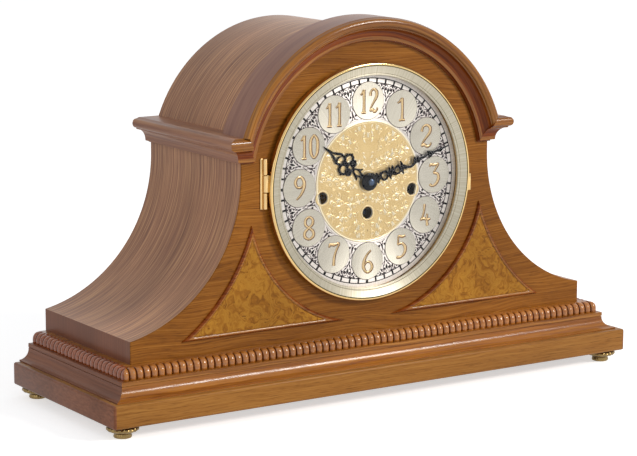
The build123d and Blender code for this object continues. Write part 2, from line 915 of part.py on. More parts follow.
# Fixed half of the bezel hinge: a leaf on the panel, two knuckles and the pin through all three
with BuildPart() as bezel_hinge_bracket:
    with BuildSketch(Plane.XY.offset(hinge_z - hinge_length / 2)):
        with Locations((hinge_x, hinge_y)):
            Circle(hinge_knuckle_radius)
        with Locations((hinge_x, case_front)):
            Rectangle(hinge_leaf_width, hinge_leaf_thickness, align=(Align.MAX, Align.MAX))
    extrude(amount=hinge_length)
    with BuildSketch(Plane.XY.offset(hinge_z - knuckle / 2 - moving_gap)):
        with Locations((hinge_x, hinge_y)):
            Circle(hinge_knuckle_radius + moving_gap)
        with Locations((hinge_x, hinge_y)):
            Rectangle(hinge_knuckle_radius * 2, bezel_depth * 2, align=(Align.MIN, Align.CENTER))
    extrude(amount=knuckle + 2 * moving_gap, mode=Mode.SUBTRACT)
    with BuildSketch(Plane.XY.offset(hinge_z - hinge_length / 2)):
        with Locations((hinge_x, hinge_y)):
            Circle(hinge_pin_radius)
    extrude(amount=hinge_length)
save(bezel_hinge_bracket, "bezel_hinge_bracket")


# Toothed wheels: straight-flanked teeth on a root circle
def gear_outline(teeth, module, phase):
    """Outline points of a wheel with a tooth centred on the phase angle, in degrees."""
    pitch_radius = teeth * module / 2
    root = pitch_radius - tooth_dedendum * module
    tip = pitch_radius + tooth_addendum * module
    step = 2 * pi / teeth
    points = []
    for tooth in range(teeth):
        middle = radians(phase) + tooth * step
        for radius, share in (
            (root, -tooth_root_share),
            (tip, -tooth_tip_share),
            (tip, tooth_tip_share),
            (root, tooth_root_share),
        ):
            turn = middle + share * step
            points.append((radius * cos(turn), radius * sin(turn)))
    return points


def toward(here, there):
    """Direction from one arbor to another, in degrees."""
    return degrees(atan2(there[1] - here[1], there[0] - here[0]))


def mating_phase(here, there, teeth):
    """Phase that puts a gap of this wheel at the mate's tooth."""
    return toward(here, there) + 180 / teeth


def at(place, y):
    """Plane facing the front at an arbor's place, given from the dial centre."""
    return front_plane(y, place[0], dial_z + place[1])


# Places of the arbors, from the dial centre
centre = (0, 0)
time_place = winding_places[1]
third_place = (-third_x, third_z)
escape_place = (-escape_x, escape_z)
motion_place = (
    motion_distance * cos(radians(motion_direction)),
    motion_distance * sin(radians(motion_direction)),
)
side_wheel_place = (side_wheel_x, side_wheel_z)
hammer_place = (hammer_arbor_x, -hammer_arbor_drop)
pillar_places = [
    (side * x, z)
    for side in (-1, 1)
    for x, z in ((upper_pillar_x, upper_pillar_z), (lower_pillar_x, -lower_pillar_z))
]

great_module = 2 * winding_middle_drop / (great_teeth + centre_leaves)
centre_module = 2 * hypot(*third_place) / (centre_teeth + third_leaves)
third_module = (
    2
    * hypot(escape_place[0] - third_place[0], escape_place[1] - third_place[1])
    / (third_teeth + escape_leaves)
)
cannon_module = 2 * motion_distance / (cannon_leaves + motion_teeth)
hour_module = 2 * motion_distance / (motion_leaves + hour_teeth)
side_module = (
    2
    * hypot(side_wheel_x - winding_side_x, side_wheel_z + winding_side_drop)
    / (side_great_teeth + side_wheel_teeth)
)

# Planes of the wheels, measured along Y from the plates
great_back = inner_front + end_shake + wheel_thickness
barrel_back = great_back + barrel_length
centre_wheel_back = plate_rear - end_shake
third_wheel_back = centre_wheel_back - pinion_length - wheel_thickness
escape_wheel_back = third_wheel_back - pinion_length - wheel_thickness
cannon_back = plate_front - end_shake
motion_wheel_back = cannon_back - end_shake
hour_wheel_back = motion_wheel_back - wheel_thickness - pinion_length / 2

# Movement plates with a bore for each arbor
def plate_sketch(face):
    """Sketch of a movement plate on a plane at depth face."""
    with BuildSketch(front_plane(face, 0, dial_z)) as outline:
        with Locations((0, (plate_top - plate_bottom) / 2)):
            RectangleRounded(2 * plate_half_width, plate_top + plate_bottom, plate_corner_radius)
        with Locations(*winding_places):
            Circle(winding_arbor_radius + running_gap, mode=Mode.SUBTRACT)
        with Locations(third_place, escape_place, side_wheel_place):
            Circle(pivot_radius + running_gap, mode=Mode.SUBTRACT)
        with Locations(centre):
            Circle(arbor_radius + running_gap, mode=Mode.SUBTRACT)
    return outline.sketch


# The front plate carries the stud of the motion work
stud_length = plate_front - hour_wheel_back + wheel_thickness + pinion_length
with BuildPart() as movement_front_plate:
    add(plate_sketch(inner_front))
    extrude(amount=plate_thickness, dir=(0, -1, 0))
    with BuildSketch(at(motion_place, plate_front)):
        Circle(pivot_radius)
    extrude(amount=stud_length)
save(movement_front_plate, "movement_front_plate")

# The back plate carries the four riveted pillars and the rod that the hammers turn on
with BuildPart() as movement_back_plate:
    add(plate_sketch(movement_back))
    extrude(amount=plate_thickness, dir=(0, -1, 0))
    with BuildSketch(front_plane(plate_rear, 0, dial_z)):
        with Locations(*pillar_places):
            Circle(pillar_radius)
        with Locations(hammer_place):
            Circle(pivot_radius)
    extrude(amount=plate_spacing)
save(movement_back_plate, "movement_back_plate")

# Two straps carry the movement from posts on the back of the front panel
strap_front = plate_front - strap_thickness
with BuildPart() as movement_straps:
    with BuildSketch(front_plane(plate_front, 0, dial_z)):
        for level in (strap_top, -strap_bottom):
            with Locations((0, level)):
                Rectangle(2 * strap_half_length, strap_height)
    extrude(amount=strap_thickness)
    with BuildSketch(front_plane(strap_front, 0, dial_z)):
        for level in (strap_top, -strap_bottom):
            for side in (-1, 1):
                with Locations((side * (strap_half_length - strap_post_radius), level)):
                    Circle(strap_post_radius)
    extrude(amount=strap_front - panel_back)
save(movement_straps, "movement_straps")

# Spring barrels with their great wheels, and the winding arbors through them
barrels = (
    ("strike", winding_places[0], side_great_teeth, side_module, centre),
    ("time", winding_places[1], great_teeth, great_module, centre),
    ("chime", winding_places[2], side_great_teeth, side_module, side_wheel_place),
)
for train, place, teeth, module, mate in barrels:
    with BuildPart() as barrel:
        with BuildSketch(at(place, great_back)):
            Polygon(*gear_outline(teeth, module, toward(place, mate)), align=None)
        extrude(amount=wheel_thickness)
        with BuildSketch(at(place, barrel_back)):
            Circle(barrel_radius)
        extrude(amount=barrel_length)
        with BuildSketch(at(place, barrel_back + overrun)):
            Circle(winding_arbor_radius + running_gap)
        extrude(amount=barrel_length + wheel_thickness + 2 * overrun, mode=Mode.SUBTRACT)
    save(barrel, f"{train}_barrel")

    square_front = dial_back + winding_square_end
    with BuildPart() as winding_arbor:
        with BuildSketch(at(place, movement_back)):
            Circle(winding_arbor_radius)
        extrude(amount=movement_back - plate_front)
        with BuildSketch(at(place, plate_front)):
            Rectangle(winding_square, winding_square)
        extrude(amount=plate_front - square_front)
    save(winding_arbor, f"{train}_winding_arbor")

# Centre arbor: pinion driven by the time barrel, centre wheel, cannon pinion and hand seat
hour_face_back = dial_face - winding_rim_height - hour_hand_clearance
hour_face_front = hour_face_back - hand_thickness
minute_back = hour_face_front - hand_spacing
hub_front = minute_back - minute_hub_height
arbor_front = hub_front - nut_height / 2
centre_pinion_back = great_back + end_shake / 2
with BuildPart() as centre_arbor:
    with BuildSketch(at(centre, movement_back)):
        Circle(arbor_radius)
    extrude(amount=movement_back - arbor_front)
    with BuildSketch(at(centre, centre_pinion_back)):
        Polygon(
            *gear_outline(centre_leaves, great_module, mating_phase(centre, time_place, centre_leaves)),
            align=None,
        )
    extrude(amount=wheel_thickness + end_shake)
    with BuildSketch(at(centre, centre_wheel_back)):
        Polygon(*gear_outline(centre_teeth, centre_module, toward(centre, third_place)), align=None)
    extrude(amount=wheel_thickness)
    with BuildSketch(at(centre, cannon_back)):
        Polygon(
            *gear_outline(cannon_leaves, cannon_module, mating_phase(centre, motion_place, cannon_leaves)),
            align=None,
        )
    extrude(amount=pinion_length)
save(centre_arbor, "centre_arbor")

# Motion work: the minute wheel and its pinion turn on the stud, the hour wheel on the centre arbor
with BuildPart() as motion_wheel:
    with BuildSketch(at(motion_place, motion_wheel_back)):
        Polygon(*gear_outline(motion_teeth, cannon_module, toward(motion_place, centre)), align=None)
    extrude(amount=wheel_thickness)
    with BuildSketch(at(motion_place, motion_wheel_back - wheel_thickness)):
        Polygon(
            *gear_outline(motion_leaves, hour_module, toward(motion_place, centre)),
            align=None,
        )
    extrude(amount=pinion_length / 2 + wheel_thickness + end_shake)
    with BuildSketch(at(motion_place, plate_front)):
        Circle(pivot_radius + running_gap)
    extrude(amount=motion_space, mode=Mode.SUBTRACT)
save(motion_wheel, "motion_wheel")

pipe_inner = arbor_radius + running_gap
pipe_outer = pipe_inner + hour_pipe_wall
with BuildPart() as hour_wheel:
    with BuildSketch(at(centre, hour_wheel_back)):
        Polygon(
            *gear_outline(hour_teeth, hour_module, mating_phase(centre, motion_place, hour_teeth)),
            align=None,
        )
    extrude(amount=wheel_thickness)
    with BuildSketch(at(centre, hour_wheel_back)):
        Circle(pipe_outer)
    extrude(amount=hour_wheel_back - hour_face_front)
    with BuildSketch(at(centre, hour_wheel_back + overrun)):
        Circle(pipe_inner)
    extrude(amount=motion_space + 2 * overrun, mode=Mode.SUBTRACT)
save(hour_wheel, "hour_wheel")


# Going train above the centre: third wheel and escape wheel with their pinions
def train_arbor(place, phase_wheel, teeth, module, wheel_back, leaves, pinion_module, phase_pinion, back):
    """An arbor between the plates with one wheel and one pinion."""
    with BuildPart() as arbor:
        with BuildSketch(at(place, movement_back)):
            Circle(pivot_radius)
        extrude(amount=movement_back - plate_front)
        with BuildSketch(at(place, wheel_back)):
            Polygon(*gear_outline(teeth, module, phase_wheel), align=None)
        extrude(amount=wheel_thickness)
        with BuildSketch(at(place, back)):
            Polygon(*gear_outline(leaves, pinion_module, phase_pinion), align=None)
        extrude(amount=pinion_length)
    return arbor


third_wheel = train_arbor(
    third_place,
    toward(third_place, escape_place),
    third_teeth,
    third_module,
    third_wheel_back,
    third_leaves,
    centre_module,
    mating_phase(third_place, centre, third_leaves),
    centre_wheel_back + end_shake / 2,
)
save(third_wheel, "third_wheel")

escape_wheel = train_arbor(
    escape_place,
    0,
    escape_teeth,
    2 * escape_radius / escape_teeth,
    escape_wheel_back,
    escape_leaves,
    third_module,
    mating_phase(escape_place, third_place, escape_leaves),
    third_wheel_back + end_shake / 2,
)
save(escape_wheel, "escape_wheel")

# Pinned chime drum driven by the chime barrel
side_wheel_back = great_back + end_shake / 2
hammer_first_y = barrel_back - end_shake - hammer_spacing / 2
hammer_depths = [hammer_first_y - row * hammer_spacing for row in range(hammer_count)]
pins_per_track = 4
with BuildPart() as chime_drum:
    with BuildSketch(at(side_wheel_place, movement_back)):
        Circle(pivot_radius)
    extrude(amount=movement_back - plate_front)
    with BuildSketch(at(side_wheel_place, side_wheel_back)):
        Polygon(
            *gear_outline(
                side_wheel_teeth,
                side_module,
                mating_phase(side_wheel_place, winding_places[2], side_wheel_teeth),
            ),
            align=None,
        )
    extrude(amount=wheel_thickness)
    with BuildSketch(at(side_wheel_place, barrel_back)):
        Circle(drum_radius)
    extrude(amount=barrel_back - side_wheel_back)
    for row, depth in enumerate(hammer_depths):
        for pin in range(pins_per_track):
            turn = 2 * pi * (pin + row / hammer_count) / pins_per_track
            with BuildSketch(
                Plane(
                    origin=(side_wheel_x, depth, dial_z + side_wheel_z),
                    x_dir=(0, 1, 0),
                    z_dir=(cos(turn), 0, sin(turn)),
                )
            ):
                RegularPolygon(pin_radius, 4)
            extrude(amount=drum_radius + pin_height)
save(chime_drum, "chime_drum")

# Hammers on one rod between the plates, each over its own chime rod
rod_z = board_top + rod_level
head_bottom = rod_z + rod_radius + hammer_gap
head_top = head_bottom + hammer_head_length
arm_top = head_top - hammer_arm_width
arbor_z = dial_z - hammer_arbor_drop
arm_turn = degrees(atan2(arm_top - arbor_z, hammer_head_x - hammer_arbor_x))
arm_length = hypot(arm_top - arbor_z, hammer_head_x - hammer_arbor_x)
tail_z = dial_z + hammer_tail_rise
tail_turn = degrees(atan2(tail_z - arbor_z, hammer_tail_x - hammer_arbor_x))
tail_length = hypot(tail_z - arbor_z, hammer_tail_x - hammer_arbor_x)
for row, depth in enumerate(hammer_depths):
    with BuildPart() as hammer:
        with BuildSketch(at(hammer_place, depth + hammer_hub_length / 2)):
            Circle(hammer_hub_radius)
        extrude(amount=hammer_hub_length)
        with BuildSketch(at(hammer_place, depth + hammer_arm_thickness / 2)):
            for turn, length in ((arm_turn, arm_length), (tail_turn, tail_length)):
                with Locations(Location((0, 0, 0), (0, 0, turn))):
                    Rectangle(length, hammer_arm_width, align=(Align.MIN, Align.CENTER))
        extrude(amount=hammer_arm_thickness)
        with BuildSketch(at(hammer_place, depth + hammer_hub_length)):
            Circle(pivot_radius + running_gap)
        extrude(amount=hammer_hub_length * 2, mode=Mode.SUBTRACT)
        with BuildSketch(Plane.XY.offset(head_bottom)):
            with Locations((hammer_head_x, depth)):
                Circle(hammer_head_radius)
        extrude(amount=hammer_head_length)
    save(hammer, f"chime_hammer_{row + 1}")

# Chime rods held by a block on the base board
block_depth = (hammer_count - 1) * hammer_spacing + 2 * rod_block_margin
block_middle = (hammer_depths[0] + hammer_depths[-1]) / 2
with BuildPart() as rod_block:
    with BuildSketch(Plane.XY.offset(board_top)):
        with Locations((rod_block_x, block_middle)):
            Rectangle(rod_block_length, block_depth, align=(Align.MIN, Align.CENTER))
    extrude(amount=rod_block_height)
    with BuildSketch(Plane(origin=(rod_block_x, 0, 0), x_dir=(0, 1, 0), z_dir=(1, 0, 0))):
        with Locations(*[(depth, rod_z) for depth in hammer_depths]):
            Circle(rod_radius)
    extrude(amount=rod_block_length * rod_seat_share, mode=Mode.SUBTRACT)
save(rod_block, "rod_block")

with BuildPart() as chime_rods:
    for row, depth in enumerate(hammer_depths):
        seat = rod_block_x + rod_block_length * rod_seat_share
        length = rod_longest - row * rod_step
        with BuildSketch(Plane(origin=(seat, depth, rod_z), x_dir=(0, 1, 0), z_dir=(-1, 0, 0))):
            Circle(rod_radius)
        extrude(amount=length)
save(chime_rods, "chime_rods")

# Floating balance on a wire held by a bracket behind the back plate
wire_z = dial_z + balance_drop
bracket_bottom = wire_z - bracket_height / 2
bracket_top = wire_z + bracket_height / 2
with BuildPart() as balance_bracket:
    with BuildSketch(Plane(origin=(-bracket_width / 2, 0, 0), x_dir=(0, 1, 0), z_dir=(1, 0, 0))):
        Polygon(
            (movement_back, bracket_bottom),
            (balance_y + bracket_reach, bracket_bottom),
            (balance_y + bracket_reach, bracket_bottom + bracket_thickness),
            (movement_back + bracket_thickness, bracket_bottom + bracket_thickness),
            (movement_back + bracket_thickness, bracket_top - bracket_thickness),
            (balance_y + bracket_reach, bracket_top - bracket_thickness),
            (balance_y + bracket_reach, bracket_top),
            (movement_back, bracket_top),
            align=None,
        )
    extrude(amount=bracket_width)
    with BuildSketch(Plane.XY.offset(bracket_bottom + bracket_thickness / 2)):
        with Locations((0, balance_y)):
            Circle(balance_wire_radius)
    extrude(amount=bracket_height - bracket_thickness)
save(balance_bracket, "balance_bracket")

with BuildPart() as balance_wheel:
    with BuildSketch(Plane.XY.offset(wire_z - balance_rim_height / 2)):
        with Locations((0, balance_y)):
            Circle(balance_radius)
            Circle(balance_radius - balance_rim, mode=Mode.SUBTRACT)
            Rectangle(2 * balance_radius - balance_rim, balance_spoke)
    extrude(amount=balance_rim_height)
    with BuildSketch(Plane.XY.offset(wire_z - balance_hub_height / 2)):
        with Locations((0, balance_y)):
            Circle(balance_hub_radius)
    extrude(amount=balance_hub_height)
    with BuildSketch(Plane.XY.offset(bracket_bottom)):
        with Locations((0, balance_y)):
            Circle(balance_wire_radius + running_gap)
    extrude(amount=bracket_height, mode=Mode.SUBTRACT)
save(balance_wheel, "balance_wheel")

# Hour hand: barbed leaves at the hub, two balls, two open rings, an open heart and a spade tip
hour_leaf_shares = [(0.03, 0.09), (0.105, 0.20), (0.06, 0.235), (0.03, 0.34), (0.0, 0.34)]
hour_leaf_hole_shares = [(0.0, 0.145), (0.028, 0.185), (0.0, 0.30)]
hour_ball_share = (0.077, 0.395, 0.062)
hour_eye_share = (0.0, 0.385, 0.040)
hour_ring_share = (0.088, 0.496, 0.092, 0.067)
hour_corner_shares = [(0.145, 0.44), (0.197, 0.488), (0.160, 0.545)]
hour_stem_shares = [(0.016, 0.34), (0.018, 0.58)]
hour_heart_shares = [
    (0.02, 0.545),
    (0.070, 0.598),
    (0.083, 0.662),
    (0.046, 0.746),
    (0.026, 0.812),
    (0.026, 0.922),
    (0.010, 0.998),
]
hour_heart_hole_shares = [(0.0, 0.60), (0.050, 0.625), (0.058, 0.665), (0.026, 0.735), (0.0, 0.785)]
hour_angle = 30 * hours_shown + minutes_shown / 2
minute_angle = 6 * minutes_shown
with BuildPart() as hour_hand:
    with BuildSketch(front_plane(hour_face_back, 0, dial_z, hour_angle)):
        span = hour_hand_length
        Circle(hour_hub_radius)
        Polygon(*mirrored(scaled(hour_leaf_shares, span)), align=None)
        Polygon(*mirrored(scaled(hour_stem_shares, span)), align=None)
        for turn in (-1, 1):
            with Locations((turn * hour_ball_share[0] * span, hour_ball_share[1] * span)):
                Circle(hour_ball_share[2] * span)
            with Locations((turn * hour_ring_share[0] * span, hour_ring_share[1] * span)):
                Circle(hour_ring_share[2] * span)
            Polygon(*[(turn * x, y) for x, y in scaled(hour_corner_shares, span)], align=None)
        with Locations((0, hour_eye_share[1] * span)):
            Circle(hour_eye_share[2] * span)
        Polygon(*mirrored(scaled(hour_heart_shares, span)), align=None)
        for turn in (-1, 1):
            with Locations((turn * hour_ring_share[0] * span, hour_ring_share[1] * span)):
                Circle(hour_ring_share[3] * span, mode=Mode.SUBTRACT)
            with Locations((turn * hour_ball_share[0] * span, hour_ball_share[1] * span)):
                Circle(hour_ball_share[2] * span)
        Polygon(*mirrored(scaled(hour_heart_hole_shares, span))[1:], align=None, mode=Mode.SUBTRACT)
        Polygon(*mirrored(scaled(hour_leaf_hole_shares, span))[1:-1], align=None, mode=Mode.SUBTRACT)
        Circle(pipe_outer, mode=Mode.SUBTRACT)
    extrude(amount=hand_thickness)
save(hour_hand, "hour_hand")

# Minute hand: three barbed clusters with two open rings between, a wavy stem and a needle tip
minute_cluster_shares = [
    [
        (-0.056, 0.092),
        (-0.034, 0.118),
        (-0.046, 0.147),
        (0.0, 0.152),
        (0.042, 0.132),
        (0.058, 0.098),
        (0.0, 0.08),
    ],
    [
        (-0.052, 0.255),
        (-0.06, 0.297),
        (0.004, 0.312),
        (0.034, 0.278),
        (0.071, 0.25),
        (0.024, 0.225),
        (-0.026, 0.228),
    ],
    [
        (-0.063, 0.403),
        (-0.02, 0.44),
        (0.045, 0.45),
        (0.034, 0.425),
        (0.074, 0.405),
        (0.022, 0.376),
        (-0.02, 0.38),
    ],
    [
        (0.018, 0.545),
        (-0.01, 0.562),
        (-0.052, 0.577),
        (-0.024, 0.596),
        (-0.041, 0.618),
        (-0.01, 0.645),
        (0.014, 0.62),
    ],
    [
        (-0.013, 0.715),
        (-0.044, 0.741),
        (-0.022, 0.772),
        (-0.009, 0.83),
        (0.009, 0.83),
        (0.022, 0.772),
        (0.041, 0.744),
        (0.013, 0.715),
    ],
]
minute_ring_shares = [(0.004, 0.186, 0.050, 0.031), (0.007, 0.345, 0.043, 0.026)]
minute_stem_shares = [
    (0.006, 0.42),
    (0.030, 0.485),
    (0.034, 0.520),
    (0.020, 0.560),
    (0.004, 0.605),
    (0.0, 0.70),
]
minute_stem_width_share = 0.022
minute_needle_shares = [(0.010, 0.70), (0.009, 0.83), (0.004, 1.0)]
with BuildPart() as minute_hand:
    with BuildSketch(front_plane(minute_back, 0, dial_z, minute_angle)):
        span = minute_hand_length
        Circle(minute_hub_radius)
        for cluster in minute_cluster_shares:
            Polygon(*scaled(cluster, span), align=None)
        for across, along, outer, inner in minute_ring_shares:
            with Locations((across * span, along * span)):
                Circle(outer * span)
        for across, along, outer, inner in minute_ring_shares:
            with Locations((across * span, along * span)):
                Circle(inner * span, mode=Mode.SUBTRACT)
        half_stem = minute_stem_width_share / 2
        stem_left = [(across - half_stem, along) for across, along in minute_stem_shares]
        stem_right = [(across + half_stem, along) for across, along in reversed(minute_stem_shares)]
        Polygon(*scaled(stem_left + stem_right, span), align=None)
        Polygon(*mirrored(scaled(minute_needle_shares, span)), align=None)
        Circle(arbor_radius, mode=Mode.SUBTRACT)
    extrude(amount=hand_thickness)
    with BuildSketch(front_plane(minute_back, 0, dial_z)):
        Circle(minute_hub_radius)
        Circle(arbor_radius, mode=Mode.SUBTRACT)
    extrude(amount=minute_hub_height)
save(minute_hand, "minute_hand")

with BuildPart() as hand_nut:
    with BuildSketch(front_plane(hub_front, 0, dial_z)):
        Circle(nut_radius)
    extrude(amount=nut_height)
    chamfer(hand_nut.faces().sort_by(Axis.Y)[0].edges(), nut_radius / 3)
    with BuildSketch(front_plane(hub_front, 0, dial_z)):
        Circle(arbor_radius)
    extrude(amount=nut_height / 2, mode=Mode.SUBTRACT)
save(hand_nut, "hand_nut")

# Back frame inside the sides, with the door opening
back_face = case_back - back_recess
door_half = waist_half_width - skin_thickness - door_stile
door_bottom = board_top + door_sill
door_top = arch_z + sqrt((hood_radius - skin_thickness) ** 2 - door_half**2) - door_head
door_height = door_top - door_bottom
door_middle = (door_bottom + door_top) / 2
with BuildPart() as back_frame:
    with BuildSketch(front_plane(back_face)):
        add(case_face(skin_thickness + glue_line, board_top))
    extrude(amount=back_thickness)
    with BuildSketch(front_plane(back_face + overrun)):
        with Locations((0, door_middle)):
            Rectangle(2 * door_half, door_height)
    extrude(amount=back_thickness + 2 * overrun, mode=Mode.SUBTRACT)
save(back_frame, "back_frame")

with BuildPart() as back_door:
    with BuildSketch(front_plane(back_face)):
        with Locations((0, door_middle)):
            Rectangle(2 * (door_half - door_clearance), door_height - 2 * door_clearance)
    extrude(amount=back_thickness)
save(back_door, "back_door")

# Two butt hinges on the back of the door, on the left seen from the front
door_axis_x = -(door_half - door_clearance / 2)
door_axis_y = back_face + hinge_knuckle_radius
door_hinge_levels = [door_middle + turn * door_height * door_hinge_share for turn in (-1, 1)]
door_knuckle = door_hinge_length / 3


def hinge_half(side, bore, parts):
    """One leaf of both door hinges, with its knuckles; parts counts knuckle thirds from below."""
    with BuildPart() as half:
        for level in door_hinge_levels:
            start = level - door_hinge_length / 2
            with BuildSketch(Plane.XY.offset(start)):
                with Locations((door_axis_x + side * moving_gap, back_face)):
                    Rectangle(
                        door_leaf_width,
                        hinge_leaf_thickness,
                        align=(Align.MIN if side == 1 else Align.MAX, Align.MIN),
                    )
            extrude(amount=door_hinge_length)
        for level in door_hinge_levels:
            for third in range(3):
                low = level - door_hinge_length / 2 + third * door_knuckle
                with BuildSketch(Plane.XY.offset(low - moving_gap)):
                    with Locations((door_axis_x, door_axis_y)):
                        Circle(hinge_knuckle_radius + moving_gap)
                extrude(amount=door_knuckle + 2 * moving_gap, mode=Mode.SUBTRACT)
        for level in door_hinge_levels:
            for third in parts:
                low = level - door_hinge_length / 2 + third * door_knuckle
                inset = moving_gap if third == 1 else 0
                with BuildSketch(Plane.XY.offset(low + inset)):
                    with Locations((door_axis_x, door_axis_y)):
                        Circle(hinge_knuckle_radius)
                    with Locations((door_axis_x, back_face)):
                        Rectangle(
                            hinge_knuckle_radius + moving_gap * 3,
                            hinge_leaf_thickness,
                            align=(Align.MIN if side == 1 else Align.MAX, Align.MIN),
                        )
                    with Locations((door_axis_x, door_axis_y)):
                        Circle(hinge_pin_radius + bore, mode=Mode.SUBTRACT)
                extrude(amount=door_knuckle - 2 * inset)
    return half


with BuildPart() as back_hinge_fixed_leaves:
    add(hinge_half(-1, 0, (0, 2)).part)
    for level in door_hinge_levels:
        with BuildSketch(Plane.XY.offset(level - door_hinge_length / 2)):
            with Locations((door_axis_x, door_axis_y)):
                Circle(hinge_pin_radius)
        extrude(amount=door_hinge_length)
save(back_hinge_fixed_leaves, "back_hinge_fixed_leaves")
save(hinge_half(1, running_gap, (1,)), "back_hinge_door_leaves")

# Small turned knob on the door
with BuildPart() as door_knob:
    with BuildSketch(Plane(origin=(door_half - door_knob_inset, back_face, door_middle), z_dir=(0, 1, 0))):
        Circle(door_knob_radius)
    extrude(amount=door_knob_height)
    chamfer(door_knob.faces().sort_by(Axis.Y)[-1].edges(), door_knob_height / 3)
save(door_knob, "door_knob")
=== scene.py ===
from math import asin, atan2, copysign, cos, hypot, pi, radians, sin, sqrt, tau

import bmesh
import bpy
from mathutils import Matrix, Vector
from mathutils.geometry import tessellate_polygon


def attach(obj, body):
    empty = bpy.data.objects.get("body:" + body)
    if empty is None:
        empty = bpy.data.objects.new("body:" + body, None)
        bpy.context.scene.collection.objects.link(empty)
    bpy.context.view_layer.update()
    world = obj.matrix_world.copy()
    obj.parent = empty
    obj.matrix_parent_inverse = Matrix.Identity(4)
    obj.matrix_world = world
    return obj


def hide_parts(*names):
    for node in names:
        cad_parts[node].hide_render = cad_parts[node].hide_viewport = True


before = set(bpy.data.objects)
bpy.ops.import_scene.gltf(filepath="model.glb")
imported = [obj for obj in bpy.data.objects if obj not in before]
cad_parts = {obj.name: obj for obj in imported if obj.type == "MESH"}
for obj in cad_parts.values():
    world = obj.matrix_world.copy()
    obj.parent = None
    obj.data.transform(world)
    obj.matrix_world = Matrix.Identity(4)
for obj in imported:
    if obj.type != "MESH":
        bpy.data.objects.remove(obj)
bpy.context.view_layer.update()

# Sizes in millimetres, the same as those of the solids
MM = 0.001
plinth_half = 222.5
depth_half = 77.5
foot_x = 209.5
foot_y = 64.5
foot_height = 9.0
plinth_top = 25.5
ledge_level = 38.0
board_top = 46.0
block_top = 62.0
rope_x = 201.5
rope_y = -56.5
rope_radius = 6.0
case_front = -52.0
panel_back = -44.0
case_back = 77.5
case_half = 196.0
waist_half = 107.0
skin = 6.0
ease = 0.6
flare_radius = 110.0
flare_x = 217.0
flare_z = block_top + sqrt(flare_radius**2 - (flare_x - case_half) ** 2)
capital_bottom = flare_z + 8.0
capital_height = 19.0
capital_top = capital_bottom + capital_height
hood_joint = capital_bottom + capital_height * 0.42
arch_z = capital_bottom - 18.5
dial_z = arch_z - 3.0
hood_radius = 107.0
arch_inner = 98.5
arch_outer = 116.0
arch_out = 12.0
capital_out = 15.0
arch_back = -32.0
bead_width = 2.8
bead_height = 2.5
burl_height = 2.1
burl_foot = board_top + 11.0
burl_inner = 101.5
burl_outer = 140.0
burl_outer_x = 233.0
burl_outer_z = 174.0
dial_hole = 80.0
dial_face = case_front + 1.0
plate_radius = 78.4
medallion_radius = 44.4
medallion_level = 0.4
winding_places = [(-39.0, -9.0), (0.0, -23.0), (39.0, -9.0)]
disc_circle = 58.5
disc_level = 0.44
bezel_back = -53.55
bezel_front = -58.05
bezel_outer = 86.5
hand_thickness = 0.6
hour_hand_back = -52.1
minute_hand_back = -53.5
hour_angle = 300 + 6.1
minute_angle = 6 * 12.2
sides = {"right": 1, "left": -1}


# Plane lines
def polar(radius, angle, centre=(0, 0)):
    return centre[0] + radius * cos(angle), centre[1] + radius * sin(angle)


def arc(centre, radius, start, turn, count):
    """Points on a circle through a turn, with both ends."""
    return [polar(radius, start + turn * i / count, centre) for i in range(count + 1)]


def circle(centre, radius, count):
    return arc(centre, radius, 0.0, tau, count)[:-1]


def spiral(centre, first, last, start, turn, count):
    """A scroll whose radius changes evenly through its turn."""
    shares = [i / count for i in range(count + 1)]
    return [polar(first + (last - first) * share, start + turn * share, centre) for share in shares]


def three_point_arc(first, middle, last, count):
    """Points along the circle through three plane points, without the first one."""
    (ax, ay), (bx, by), (cx, cy) = first, middle, last
    d = 2 * (ax * (by - cy) + bx * (cy - ay) + cx * (ay - by))
    sa, sb, sc = ax * ax + ay * ay, bx * bx + by * by, cx * cx + cy * cy
    ux = (sa * (by - cy) + sb * (cy - ay) + sc * (ay - by)) / d
    uy = (sa * (cx - bx) + sb * (ax - cx) + sc * (bx - ax)) / d
    start, mid, end = (atan2(y - uy, x - ux) for x, y in (first, middle, last))
    turn = (end - start) % tau
    if (mid - start) % tau > turn:
        turn -= tau
    return arc((ux, uy), hypot(ax - ux, ay - uy), start, turn, count)[1:]


def smooth_path(points, steps=6):
    """A smooth line through plane points."""
    if len(points) < 3:
        return points
    padded = [points[0]] + list(points) + [points[-1]]
    out = []
    for i in range(1, len(padded) - 2):
        p0, p1, p2, p3 = padded[i - 1 : i + 3]
        for step in range(steps):
            t = step / steps
            out.append(tuple(
                0.5 * (
                    2 * p1[k] + (p2[k] - p0[k]) * t
                    + (2 * p0[k] - 5 * p1[k] + 4 * p2[k] - p3[k]) * t * t
                    + (3 * p1[k] - p0[k] - 3 * p2[k] + p3[k]) * t**3
                )
                for k in range(2)
            ))
    return out + [tuple(points[-1])]


def run_lengths(points):
    """The length run at each point of a line."""
    out = [0.0]
    for a, b in zip(points, points[1:]):
        out.append(out[-1] + hypot(b[0] - a[0], b[1] - a[1]))
    return out


# Meshes
def new_mesh(name, materials):
    mesh = bpy.data.meshes.new(name)
    for material in materials:
        mesh.materials.append(looks[material])
    return mesh


def add_piece(mesh, body, replaces, angle, marks):
    """Shade a mesh, store where each point lies in its grain, and make it a piece of a body."""
    layer = mesh.attributes.new("grain", "FLOAT_VECTOR", "POINT")
    layer.data.foreach_set("vector", [part for mark in marks for part in mark])
    mesh.polygons.foreach_set("use_smooth", [True] * len(mesh.polygons))
    mesh.set_sharp_from_angle(angle=radians(angle))
    mesh.update()
    piece = bpy.data.objects.new(mesh.name, mesh)
    bpy.context.scene.collection.objects.link(piece)
    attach(piece, body)
    if replaces:
        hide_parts(*replaces)


def grain_x(place):
    return (place[0], place[2], place[1])


def grain_y(place):
    return (place[1], place[2], place[0])


